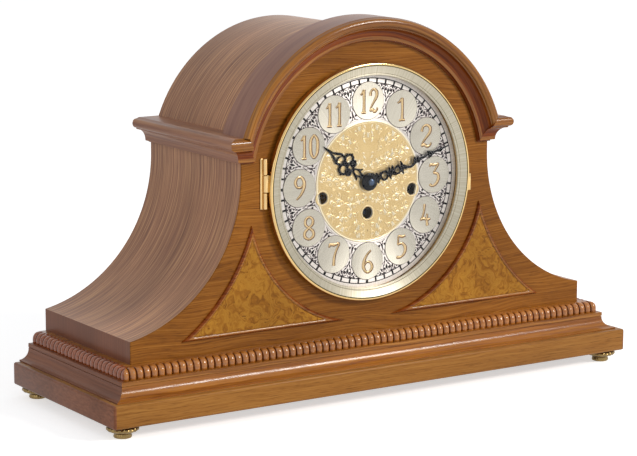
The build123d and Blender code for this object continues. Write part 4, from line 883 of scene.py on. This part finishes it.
def make_rope(run):
    """Roll of close round lobes; its ends are cut on the mitre."""
    shape = Shape()
    if run == "front":
        first, lobes = -(rope_x + rope_radius), 74
        length = -2 * first
    else:
        first, lobes = rope_y - rope_radius, 25
        length = depth_half - first
    per_lobe = 10
    turns = [radians(96 - 9 * i) for i in range(14)]
    rows = []
    for step in range(lobes * per_lobe + 1):
        along = first + step * (length / lobes) / per_lobe
        phase = (step % per_lobe) / per_lobe
        factor = 0.58 + 0.42 * sqrt(max(0.0, 1 - (2 * phase - 1) ** 2 * 0.999))
        row = []
        for turn in turns:
            inward = rope_radius * factor * copysign(abs(cos(turn)) ** 0.78, cos(turn))
            up = 2.0 + 6.2 * (0.5 + 0.5 * factor) * copysign(abs(sin(turn)) ** 0.85, sin(turn))
            height = ledge_level + max(0.0, up)
            reach = max(0.0, inward)
            if run == "front":
                row.append((max(-(rope_x + reach), min(rope_x + reach, along)), rope_y - inward, height))
            else:
                row.append((sides[run] * (rope_x + inward), max(rope_y - reach, along), height))
        rows.append(row)
    numbers = shape.skin(rows)
    # The faces at each groove between lobes take the dark wood: painted shade.
    shaded_grooves = (0, per_lobe - 1)
    shape.slots = [int(face // (len(turns) - 1) % per_lobe in shaded_grooves) for face in range(len(shape.slots))]
    shape.ends(numbers)
    # The side runs take the redder copy: painted shade.
    shape.make(f"rope_{run}", ["rope_wood" if run == "front" else "rope_left", "rope_groove_shade"], "trim_wood",
               [f"rope_moulding_{run}"], grain=run_grain(run), angle=60)


def make_base():
    make_boards()
    for run in ("front", "left", "right"):
        make_cove(run)
        make_rope(run)


def make_feet():
    """Turned brass feet with a scalloped collar and a reeded stem."""
    shape = Shape()
    profile = [
        (0.0, 0.0, 0.0), (5.2, 0.0, 0.0), (6.1, 0.35, 0.02), (6.5, 1.1, 0.03), (6.3, 2.0, 0.03),
        (6.0, 3.0, 0.03), (6.6, 3.9, 0.03), (8.4, 4.6, 0.03), (10.4, 5.1, 0.05), (11.3, 5.9, 0.05),
        (11.5, 6.8, 0.05), (10.9, 7.9, 0.045), (9.6, 8.7, 0.02), (8.6, 9.0, 0.0), (0.0, 9.0, 0.0),
    ]
    count = 144
    for centre in ((x, y) for x in (-foot_x, foot_x) for y in (-foot_y, foot_y)):
        rows = []
        for i in range(count):
            angle = tau * i / count
            dip = 1 - abs(cos(angle * 9)) ** 0.7
            rows.append([(*polar(r * (1 - lobe * dip), angle, centre), z) for r, z, lobe in profile])
        shape.skin(rows, wrap_rows=True)
    shape.make("brass_feet", ["foot_brass"], "polished_brass", ["feet"], angle=40, close=True)


# Bezel
def make_bezel():
    """Ring with a brass edge, a dark groove and a silvered slope; the dark of the groove and the ledge is
    patina with painted shade.
    """
    shape = Shape()
    gold = [(bezel_outer, bezel_back), (bezel_outer, -56.65)]
    gold += three_point_arc((bezel_outer, -56.65), (86.09, -57.64), (85.1, bezel_front), 8)
    gold += [(84.75, -58.0)]
    groove = [(84.75, -58.0), (84.5, -57.55), (84.15, -57.5), (83.95, -57.85)]
    slope = [(83.95, -57.85), (83.2, -57.62), (81.4, -57.06), (79.7, -56.62), (78.9, -56.46)]
    ledge = [(78.9, -56.46), (78.8, -56.36), (78.6, -56.38)]
    lip = [(78.6, -56.38), (77.9, -56.44), (77.4, -56.3), (77.05, -55.95), (77.0, -55.40)]
    back = [(77.0, -55.40), (79.3, -55.40), (79.3, bezel_back), (bezel_outer, bezel_back)]
    for points, slot in ((gold, 0), (groove, 2), (slope, 1), (ledge, 2), (lip, 1), (back, 0)):
        lathe(shape, points, (0, dial_z), 180, slot)
    shape.make("bezel", ["brass", "bezel_slope", "bezel_patina_and_shade"], "polished_brass", ["bezel_ring"],
               body="bezel_door", angle=24)


def upright_pin(shape, centre, low, high):
    """A short upright pin with eased ends."""
    radius, bevel = 1.6, 0.25
    profile = [(0.0, low), (radius - bevel, low), (radius, low + bevel), (radius, high - bevel),
               (radius - bevel, high), (0.0, high)]
    turned(shape, profile, lambda a, b, z: (centre[0] + a, centre[1] + b, z), 32)


def make_bezel_hinge():
    """Hinge knuckles and leaves, and the catch on the other side."""
    x, y, z = -88.4, -53.6, dial_z + 6.0
    half, knuckle_half, gap = 18, 6.0, 0.35
    leaf_end, leaf_front, leaf_back = -85.2, -55.2, -54.4
    catch_start, catch_end, catch_front = 85.3, 88.7, -56.65
    catch_low, catch_high = dial_z - 13.5, dial_z - 0.5
    door = Shape()
    upright_pin(door, (x, y), z - knuckle_half, z + knuckle_half)
    door.make("bezel_knuckle", ["hinge_brass"], "polished_brass", body="bezel_door", angle=40, close=True)
    board("bezel_leaf", (x, leaf_front, z - knuckle_half), (leaf_end, leaf_back, z + knuckle_half), 0.15,
          ["hinge_brass"], body="bezel_door")
    board("bezel_catch", (catch_start, catch_front, catch_low), (catch_end, bezel_back, catch_high), 0.7,
          ["brass"], body="bezel_door")
    fixed = Shape()
    upright_pin(fixed, (x, y), z - half, z - knuckle_half - gap)
    upright_pin(fixed, (x, y), z + knuckle_half + gap, z + half)
    fixed.make("hinge_knuckles", ["hinge_brass"], "polished_brass", ["bezel_hinge_bracket"], angle=40,
               close=True)
    board("hinge_leaf", (x - 3.4, case_front - 0.8, z - half), (x, case_front - 0.02, z + half), 0.2,
          ["hinge_brass"])


def make_glass():
    shape = Shape()
    radius, front, back, crown, inner_crown = 79.1, -54.95, -54.0, 6.0, 5.75

    def dome(edge, height):
        """Radius and depth from the middle of a dome to its edge."""
        return [(radius * i / 16, edge - height * (1 - (i / 16) ** 2)) for i in range(17)]

    outside, inside = dome(front, crown), dome(back, inner_crown)
    lathe(shape, outside, (0, dial_z), 128)
    lathe(shape, [outside[-1]] + inside[::-1], (0, dial_z), 128, 1)
    shape.make("domed_glass", ["dial_glass", "glass_inside"], "dial_glass", ["bezel_glass"],
               body="bezel_door", angle=50, close=True)


# Dial
def dial_place(x, z, level):
    """A place on the dial from its centre; level is the height above the dial's face."""
    return (x, dial_face - level, dial_z + z)


def dial_ring(shape, inner, outer, low, high, count=180, centre=(0, 0)):
    edge = 0.1
    profile = [(inner, low), (inner, high - edge), (inner + edge, high), (outer - edge, high),
               (outer, high - edge), (outer, low)]
    x, z = centre
    turned(shape, profile, lambda a, b, level: dial_place(x + a, z + b, level), count, closed=True)


def make_plate(name, look, slot, node, radius, low, high, hole_radius):
    """A dial plate with holes for the hands and the winding arbors."""
    shape = Shape()
    front, back = dial_face - high, dial_face - low
    edge = min(0.15, (high - low) / 3)
    holes = [circle((0, dial_z), 5.4, 48)]
    holes += [circle((x, dial_z + z), hole_radius, 40) for x, z in winding_places]
    outer = circle((0, dial_z), radius, 180)
    inner = circle((0, dial_z), radius - edge, 180)
    shape.tube((outer, back), (outer, front + edge), (inner, front))
    shape.cap([inner] + holes, front)
    shape.cap([outer] + holes, back)
    for hole in holes:
        shape.tube((hole, front), (hole, back))
    shape.make(name, [look], slot, [node])


def make_plates():
    make_plate("silver_plate", "dial_silver", "dial_silver", "dial_plate", plate_radius, -1.0, 0.0, 4.4)
    make_plate("gilt_plate", "gilt", "dial_gilt", "dial_medallion", medallion_radius, 0.0, medallion_level,
               5.9)


# Lace between two discs, to one side of the line between them: lines, dots with their radius, and spears
# on the line itself with their width
lace_lines = [
    [(0.3, 60.5), (0.9, 63.2), (2.6, 65.2), (3.2, 67.4), (2.2, 68.7), (1.2, 68.0), (1.4, 66.9)],
    [(1.0, 62.6), (3.6, 64.0), (5.4, 66.4), (5.0, 68.6), (3.8, 68.9), (3.6, 67.8)],
    [(4.6, 65.0), (7.4, 67.6), (10.4, 69.0), (11.6, 70.2), (10.4, 70.6), (9.4, 70.0)],
    [(7.2, 67.8), (6.6, 69.4), (7.8, 70.5)],
    [(0.4, 69.4), (2.4, 70.6), (5.4, 70.2), (6.0, 69.0)],
    [(0.3, 57.6), (1.0, 54.6), (2.9, 52.2), (3.3, 50.0), (2.3, 48.9), (1.4, 49.7)],
    [(0.6, 54.0), (0.3, 51.2), (1.1, 47.6), (3.6, 46.3)],
]
lace_dots = [(4.7, 67.6, 0.8), (2.2, 67.4, 0.8), (10.6, 69.8, 0.7), (8.6, 69.0, 0.7), (2.4, 49.9, 0.7),
             (1.9, 64.9, 0.6), (6.6, 70.2, 0.6), (0.9, 47.2, 0.5), (3.3, 70.0, 0.7), (0.9, 62.3, 0.6)]
lace_spears = [(58.6, 60.0, 61.6, 1.1), (64.2, 66.6, 69.0, 1.5), (51.8, 50.4, 48.6, 1.2)]


def make_minute_track():
    """Two rings with a mark at each minute between them, broader at each fifth."""
    shape = Shape()
    for inner, outer in ((71.0, 71.7), (74.4, 75.1)):
        dial_ring(shape, inner, outer, 0.0, 0.05)
    for minute in range(60):
        dx, dz = polar(1, radians(90 - 6 * minute))
        half = 0.72 if minute % 5 else 1.0
        corners = []
        for r, across in ((71.3, -half), (74.9, -half), (74.9, half), (71.3, half)):
            corners.append(shape.point(dial_place(r * dx - across * dz, r * dz + across * dx, 0.06)))
        shape.face(corners)
    shape.make("minute_track", ["dial_ink"], "dial_silver")


def make_filigree():
    """Lace between the discs and a line round the medallion, in dark enamel."""
    lace = Shape()
    bold = 1.35
    for hour in range(12):
        dx, dz = polar(1, radians(75 - 30 * hour))

        def to_place(across, up, level):
            return dial_place(up * dx + across * dz, up * dz - across * dx, level)

        for turn in (-1, 1):
            for line in lace_lines:
                path = smooth_path([(turn * a, b) for a, b in line])
                stroke(lace, path, [0.35 * bold, 0.6 * bold, 0.35 * bold], to_place, 0.0, 0.06)
            for a, b, r in lace_dots:
                stroke(lace, circle((turn * a, b), r * 0.5, 10), [r], to_place, 0.0, 0.07, 1, closed=True)
        for low, middle, high, wide in lace_spears:
            spear = [(0, low), (0, middle), (0, high)]
            stroke(lace, spear, [0.2 * bold, wide * bold, 0.2 * bold], to_place, 0.0, 0.06, 1)
    dial_ring(lace, 45.7, 45.95, 0.0, 0.05)
    lace.make("filigree", ["dial_ink_grey", "dial_ink"], "dial_silver")


def disc_centre(hour):
    return polar(disc_circle, radians(90 - 30 * hour))


def make_discs():
    """Twelve silvered discs, each with a dark outline."""
    shape = Shape()
    outlines = Shape()
    profile = [(0.0, disc_level), (12.9, disc_level), (13.15, 0.5), (13.45, 0.5), (13.6, 0.36), (13.6, 0.0)]
    for hour in range(12):
        x, z = disc_centre(hour)
        lathe(shape, [(radius, dial_face - level) for radius, level in profile], (x, dial_z + z), 64)
        dial_ring(outlines, 13.55, 13.95, 0.0, 0.1, 72, (x, z))
    shape.make("numeral_discs", ["disc_silver"], "disc_silver", ["hour_discs"])
    outlines.make("disc_outlines", ["dial_ink_grey"], "dial_silver")


# Numerals as pen strokes in a box 100 wide and 200 high: each point has its place and the pen's width
numeral_strokes = {
    "0": [
        [(50, 195, 12), (14, 155, 26), (8, 100, 30), (16, 42, 26), (50, 5, 12), (84, 42, 26),
         (92, 100, 30), (86, 155, 26), (50, 195, 12)],
    ],
    "1": [
        [(50, 5, 30), (53, 100, 20), (50, 195, 30)],
        [(50, 192, 20), (30, 166, 14), (10, 155, 6)],
        [(24, 5, 12), (76, 5, 12)],
    ],
    "2": [
        [(12, 142, 26), (22, 178, 14), (55, 195, 14), (88, 172, 28), (86, 132, 26), (52, 86, 16),
         (22, 46, 12), (10, 12, 12)],
        [(10, 14, 12), (36, 26, 24), (64, 8, 22), (92, 22, 12), (96, 42, 6)],
    ],
    "3": [
        [(8, 174, 10), (16, 192, 18), (50, 186, 20), (88, 193, 12), (62, 150, 14), (42, 116, 10)],
        [(42, 116, 10), (80, 106, 22), (90, 66, 30), (68, 22, 22), (36, 4, 12), (10, 20, 24)],
    ],
    "4": [
        [(44, 195, 24), (40, 140, 16), (26, 86, 14), (6, 60, 8)],
        [(6, 60, 10), (40, 70, 18), (70, 56, 20), (98, 66, 8)],
        [(70, 110, 12), (66, 60, 20), (72, 5, 28)],
    ],
    "5": [
        [(90, 193, 10), (60, 186, 20), (28, 193, 14), (24, 150, 12), (20, 118, 10)],
        [(20, 118, 10), (58, 128, 18), (88, 94, 30), (84, 46, 26), (52, 10, 14), (12, 10, 26)],
    ],
    "6": [
        [(78, 193, 8), (42, 156, 16), (16, 102, 28), (12, 52, 30), (34, 10, 18), (66, 8, 16), (88, 44, 28),
         (74, 86, 18), (42, 94, 12), (20, 68, 8)],
    ],
    "7": [
        [(6, 166, 10), (14, 190, 20), (50, 184, 22), (94, 192, 12), (66, 130, 16), (50, 70, 22), (46, 5, 28)],
    ],
    "8": [
        [(50, 102, 12), (20, 130, 22), (20, 172, 22), (50, 194, 12), (80, 172, 22), (80, 134, 22),
         (50, 102, 14), (16, 70, 24), (14, 30, 26), (50, 5, 12), (86, 30, 26), (84, 70, 24), (50, 102, 12)],
    ],
    "9": [
        [(22, 7, 8), (58, 44, 16), (84, 98, 28), (88, 148, 30), (66, 190, 18), (34, 192, 16),
         (12, 156, 28), (26, 114, 18), (58, 106, 12), (80, 132, 8)],
    ],
}


def make_numerals():
    """Raised gilt numerals, each stroke with a wider dark one under it, shifted right and down: a dark
    outline and a painted shadow.
    """
    gold = Shape()
    dark = Shape()
    gap, pen_scale, shadow_level, gold_level = 1.1, 6.6, 0.47, 0.72
    for hour in range(1, 13):
        x, z = disc_centre(hour)
        digits = str(hour)
        height, each = (17.4, 7.2) if len(digits) == 2 else (17.0, 9.8)
        left = x - (each * len(digits) + gap * (len(digits) - 1)) / 2
        for digit in digits:
            for pen in numeral_strokes[digit]:
                plan = [(left + a / 100 * each, z + (b / 200 - 0.5) * height) for a, b, width in pen]
                path = smooth_path(plan, 5)
                broad = [width / 100 * pen_scale for a, b, width in pen]
                below = [(a + 0.3, b - 0.2) for a, b in path]
                stroke(dark, below, [width + 0.95 for width in broad], dial_place, disc_level, shadow_level)
                stroke(gold, path, broad, dial_place, disc_level, gold_level)
            left += each + gap
    dark.make("numeral_shadows", ["numeral_shadow"], "dial_gilt", angle=60)
    gold.make("numerals", ["numeral_gold"], "dial_gilt", angle=60)


def make_medallion_work():
    """Engraved scrolls and leaves on the gilt plate, mirrored left and right."""
    pale = Shape()
    bright = Shape()
    for inner, outer, high, count in ((43.2, 44.3, 0.5, 180), (42.35, 42.6, 0.46, 180), (7.6, 8.0, 0.47, 90)):
        dial_ring(bright, inner, outer, medallion_level, high, count)

    inmost, outmost, hole_room = 8.2, 42.0, 6.6
    bare_half, bare_low, bare_high = 8.0, 22.0, 27.0

    def open_ground(points):
        """False where a stroke would cross a hole, the edge or the bare place over the centre."""
        return all(
            inmost <= hypot(a, b) <= outmost
            and all(hypot(a - x, b - z) >= hole_room for x, z in winding_places)
            and not (abs(a) < bare_half and bare_low < b < bare_high)
            for a, b in points
        )

    def add(shape, points, widths):
        for turn in (-1, 1):
            flipped = [(turn * a, b) for a, b in points]
            if open_ground(flipped):
                stroke(shape, flipped, widths, dial_place, medallion_level, 0.62)

    def dash(centre, angle, half):
        dx, dz = polar(half, angle)
        return [(centre[0] - dx, centre[1] - dz), centre, (centre[0] + dx, centre[1] + dz)]

    rings = ((38.6, 16, 2.9), (32.8, 13, 3.0), (26.8, 11, 2.9), (21.0, 8, 2.8), (15.4, 6, 2.5),
             (10.9, 4, 1.9))
    for ring, (radius, count, size) in enumerate(rings):
        for i in range(count):
            angle = pi / 2 - pi * (i + 0.5) / count
            centre = polar(radius, angle)
            hand = 1 if (i + ring) % 2 else -1
            add(pale, spiral(centre, size, size * 0.22, angle + 0.6 * hand, hand * 4.6, 20), [0.5, 1.0, 0.4])
            add(bright, spiral(centre, size * 0.34, size * 0.12, angle + 2.2, -hand * 4.0, 12), [0.5, 0.45])
            leaf = ((1.1, 1.9), (1.5, 1.35), (1.35, 0.8))
            leaf = [polar(size * far, angle + lean * hand, centre) for far, lean in leaf]
            add(bright, smooth_path(leaf, 5), [0.3, 1.5, 0.3])
            between = angle - pi / count / 2
            add(pale, dash(polar(radius + 3.2, between), between, 0.7), [0.2, 0.9, 0.2])
    for ring, radius in enumerate((40.4, 35.6, 29.8, 24.0, 18.2, 13.2)):
        count = int(radius * 0.5)
        for i in range(count):
            angle = pi / 2 - pi * (i + 0.5) / count
            lean = angle + (0.5 if (i + ring) % 2 else -0.5)
            add(pale if i % 3 else bright, dash(polar(radius, angle), lean, 1.6), [0.25, 1.4, 0.25])
    pale.make("medallion_scrolls", ["gilt_pale"], "dial_gilt", angle=60)
    bright.make("medallion_leaves", ["gilt_silver"], "dial_gilt", angle=60)


def make_winding_rims():
    shape = Shape()
    profile = [(5.8, 0.0), (5.8, 0.4), (5.5, 0.6), (4.9, 0.6), (4.4, 0.25), (4.4, -0.8)]
    for x, z in winding_places:
        lathe(shape, [(radius, dial_face - level) for radius, level in profile], (x, dial_z + z), 64)
    shape.make("hole_rims", ["gilt_pale"], "dial_gilt", ["winding_rims"])


# Hands: each stroke is a line of points along the hand, across it, and the width there
hour_half = [
    [(47.9, 0, 0.3), (44.3, 0.25, 0.9), (39, 0.6, 1.2)],
    [(39.5, 0.5, 0.8), (35.8, 1.7, 1.5), (31.8, 3.6, 1.6), (28.7, 3.2, 1.3), (26.2, 1.4, 1), (25.4, 0, 1.4)],
    [(24.2, 7.4, 1.8), (23.5, 9.4, 0.4)],
    [(26.4, 6, 1.2), (28.4, 6.6, 0.3)],
    [(20.6, 1.4, 1.1), (18.6, 1.9, 1), (16.6, 0.8, 1.2)],
    [(16.6, 0.4, 1), (13.6, 1.9, 1.2), (11.5, 2.2, 1.3), (9, 1.2, 1.3), (6.2, 0.6, 1.6)],
    [(12.4, 2.2, 1.4), (10.4, 3.4, 1.1), (9.5, 4.8, 0.4)],
]
hour_middle = [
    [(31.6, -2.7, 0.7), (32.6, 0, 1.2), (30.6, 2.4, 0.5)],
    [(27.6, 0, 1.6), (24.6, 0, 2), (21.2, 0, 1.4)],
    [(17.4, 0, 1), (16.4, 0, 2.6), (15.2, 0, 1.2)],
]
hour_rings = [(23.8, 4.2, 3.5, 1.5, 24), (19, 3.7, 1.35, 2.7, 18)]
minute_strokes = [
    [(5, 0, 3), (7.9, 0, 3.4), (10.4, 0.2, 1.6)],
    [(7.9, 0, 2), (7.2, 2.4, 1.6), (7.2, 4.3, 0.4)],
    [(8.2, 0, 2), (7.4, -2.3, 1.6), (6.9, -4.2, 0.4)],
    [(9, -0.2, 1.8), (10.2, -1.9, 1.2), (10.7, -3.4, 0.4)],
    [(9.4, 0.4, 1.5), (10.8, 1.9, 1.1), (11.6, 3.2, 0.4)],
    [(16.2, 0.4, 1.8), (19.1, 0.6, 3.2), (22.2, 0.7, 1.6)],
    [(18, 0.6, 1.8), (18, 3, 1.5), (18.3, 5.3, 0.4)],
    [(18.6, 0.4, 1.8), (18.8, -2, 1.4), (18.8, -3.9, 0.4)],
    [(20.4, 0.2, 1.8), (21.4, -2.4, 1.4), (21.8, -4.5, 0.4)],
    [(20.6, 1, 1.5), (21.8, 2.6, 1.1), (23.2, 3.8, 0.4)],
    [(27.4, 0.7, 1.8), (30.5, 0.6, 3), (33.4, 1.6, 1.6), (35.4, 2.4, 1.3), (37.9, 2.6, 1.3),
     (40.9, 1.3, 1.7), (44.3, 0.2, 2.1), (49, 0, 1.1)],
    [(29.6, 0.8, 1.8), (29.2, 3.2, 1.5), (29.6, 5.5, 0.4)],
    [(30, 0.2, 1.8), (29.8, -2.4, 1.5), (29.4, -4.7, 0.4)],
    [(31.6, 1.2, 1.6), (32.6, 3.2, 0.4)],
    [(41.4, 0.6, 1.8), (41.9, -1.6, 1.4), (42.1, -3, 0.4)],
    [(43.4, 0.2, 1.6), (44.6, -1.2, 1.2), (45.1, -2.2, 0.4)],
    [(42.6, 0.8, 1.2), (44.2, 1.9, 0.9), (45.6, 2.2, 0.3)],
    [(48.5, 0, 1.1), (51, 0, 1), (54.5, 0, 1.2)],
    [(54.2, 0, 2.8), (55.4, 0, 3.4), (57.6, 0, 2.2), (60.6, 0, 0.9)],
    [(55.6, 1, 1.3), (54.4, 1.9, 0.9), (53.9, 3, 0.3)],
    [(55.6, -1, 1.3), (54.3, -2, 0.9), (53.8, -3.2, 0.3)],
    [(60, 0, 1.2), (66, 0, 1.1), (73, 0, 0.6)],
]
minute_rings = [(13.4, 0.4, 3, 1.15, 24), (25.2, 0.8, 2.6, 1.05, 24)]


def make_hand(name, body, node, angle, back, bold, strokes, rings, hub, count):
    """A pierced hand that points along its angle, clockwise from twelve."""
    shape = Shape()
    turn = radians(angle)

    def put(across, along, level):
        x = along * sin(turn) + across * cos(turn)
        z = along * cos(turn) - across * sin(turn)
        return (x, back - level, dial_z + z)

    for line in strokes:
        path = smooth_path([(across, along) for along, across, width in line])
        stroke(shape, path, [width * bold for along, across, width in line], put, 0.0, hand_thickness)
    for along, across, radius, width, steps in rings:
        path = [(b, a) for a, b in circle((along, across), radius, steps)]
        stroke(shape, path, [width * bold], put, 0.0, hand_thickness, closed=True)
    turned(shape, hub, put, count, closed=True)
    shape.make(name, ["hand_black"], "hand_black", [node], body=body, angle=50)


def make_hands():
    top = hand_thickness
    mirrored = [[[(a, turn * b, w) for a, b, w in line] for line in hour_half] for turn in (-1, 1)]
    rings = [(a, turn * b, *rest) for turn in (-1, 1) for a, b, *rest in hour_rings]
    hub = [(2.7, 0.0), (2.7, top), (5.0, top), (5.3, top * 0.5), (5.3, 0.0)]
    make_hand("hour_hand_cut", "hour_hand", "hour_hand", hour_angle, hour_hand_back, 1.2,
              mirrored[0] + mirrored[1] + hour_middle, rings, hub, 64)
    hub = [(1.7, 0.0), (1.7, 1.4), (5.6, 1.4), (6.3, 1.0), (6.6, 0.5), (6.6, 0.0)]
    make_hand("minute_hand_cut", "minute_arbor", "minute_hand", minute_angle, minute_hand_back, 1.45,
              minute_strokes, minute_rings, hub, 72)


def make_nut():
    shape = Shape()
    profile = [(2.5, 0.0), (2.5, 1.4), (2.35, 1.6), (2.2, 1.7), (2.05, 2.2), (1.5, 2.5), (0.0, 2.6)]
    lathe(shape, [(radius, minute_hand_back - 1.4 - level) for radius, level in profile], (0, dial_z), 48)
    shape.make("polished_nut", ["nut_blue"], "hand_black", ["hand_nut"], body="minute_arbor", angle=30)


for make in (
    make_front_panel, make_burl_panels, make_sides, make_hood, make_arch, make_capitals, make_base, make_feet,
    make_bezel, make_bezel_hinge, make_glass, make_plates, make_minute_track, make_filigree, make_discs,
    make_numerals, make_medallion_work, make_winding_rims, make_hands, make_nut,
):
    make()

# Solids that show as they are
solid_looks = {
    "brass": "dial_pan back_hinge_fixed_leaves back_hinge_door_leaves door_knob",
    "oak_back": "back_frame back_door base_back_rail",
    "movement_brass": "movement_front_plate movement_back_plate centre_arbor hour_wheel motion_wheel "
                      "third_wheel escape_wheel chime_drum time_barrel strike_barrel chime_barrel "
                      "balance_wheel",
    "steel": "movement_straps chime_rods balance_bracket chime_hammer_1 chime_hammer_2 chime_hammer_3 "
             "chime_hammer_4",
    # The winding arbors take the dark steel: painted shade in the winding holes.
    "arbor_steel_shade": "time_winding_arbor strike_winding_arbor chime_winding_arbor",
    "iron": "rod_block",
}
for look, names in solid_looks.items():
    for name in names.split():
        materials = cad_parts[name].data.materials
        if not materials:
            materials.append(looks[look])
        for number in range(len(materials)):
            materials[number] = looks[look]

# Floor and backdrop
scene = bpy.context.scene
floor_look = bpy.data.materials.new("studio_floor")
nodes = Nodes(floor_look)
diffuse = nodes.fed("BsdfDiffuse", {"Color": (0.86, 0.86, 0.86, 1)})
glow = nodes.fed("Emission", {"Strength": nodes.times(nodes.seen(), 0.58)})
total = nodes.fed("AddShader", {0: diffuse.outputs[0], 1: glow.outputs[0]})
nodes.fed("OutputMaterial", {"Surface": total.outputs[0]})

reach = 12.0
corners = [(-reach, -reach, 0), (reach, -reach, 0), (reach, reach, 0), (-reach, reach, 0)]
floor_mesh = bpy.data.meshes.new("floor")
floor_mesh.from_pydata(corners, [], [(0, 1, 2, 3)])
floor_mesh.materials.append(floor_look)
floor = bpy.data.objects.new("floor", floor_mesh)
scene.collection.objects.link(floor)

world = bpy.data.worlds.new("studio")
scene.world = world
nodes = Nodes(world)
daylight = nodes.fed("Background", {"Color": (0.97, 0.98, 1.0, 1), "Strength": 0.48})
white = nodes.fed("Background", {"Color": (1, 1, 1, 1), "Strength": 1.0})
mixed = nodes.fed("MixShader", {0: nodes.seen(), 1: daylight.outputs[0], 2: white.outputs[0]})
nodes.fed("OutputWorld", {"Surface": mixed.outputs[0]})


# Lamps
lamp_target = Vector((0, 0, 0.13))


def area_light(name, place, size, power, color):
    data = bpy.data.lights.new(name, "AREA")
    data.size = size
    data.energy = power
    data.color = color
    lamp = bpy.data.objects.new(name, data)
    lamp.location = place
    lamp.rotation_euler = (lamp_target - Vector(place)).to_track_quat("-Z", "Y").to_euler()
    scene.collection.objects.link(lamp)


area_light("key", (1.35, -1.95, 1.35), 0.6, 46.0, (1.0, 0.97, 0.93))
area_light("fill", (-2.0, -0.6, 1.0), 1.2, 5.0, (0.95, 0.96, 1.0))

# Camera, solved from the photograph
yaw, pitch, roll = -0.576653, 0.179828, 0.002032
camera_place = Vector((-0.9519, -1.4498, 0.4297))
right = Vector((cos(yaw), sin(yaw), 0))
back = Vector((sin(yaw) * cos(pitch), -cos(yaw) * cos(pitch), sin(pitch)))
up = back.cross(right)
turned_right = right * cos(roll) + up * sin(roll)
turned_up = up * cos(roll) - right * sin(roll)
camera_data = bpy.data.cameras.new("camera")
camera_data.sensor_fit = "HORIZONTAL"
camera_data.sensor_width = 36.0
camera_data.lens = 134.314
camera_data.clip_start = 0.05
camera_data.clip_end = 60.0
camera = bpy.data.objects.new("camera", camera_data)
matrix = Matrix((turned_right, turned_up, back)).transposed().to_4x4()
matrix.translation = camera_place
camera.matrix_world = matrix
scene.collection.objects.link(camera)
scene.camera = camera
scene.view_settings.view_transform = "Standard"
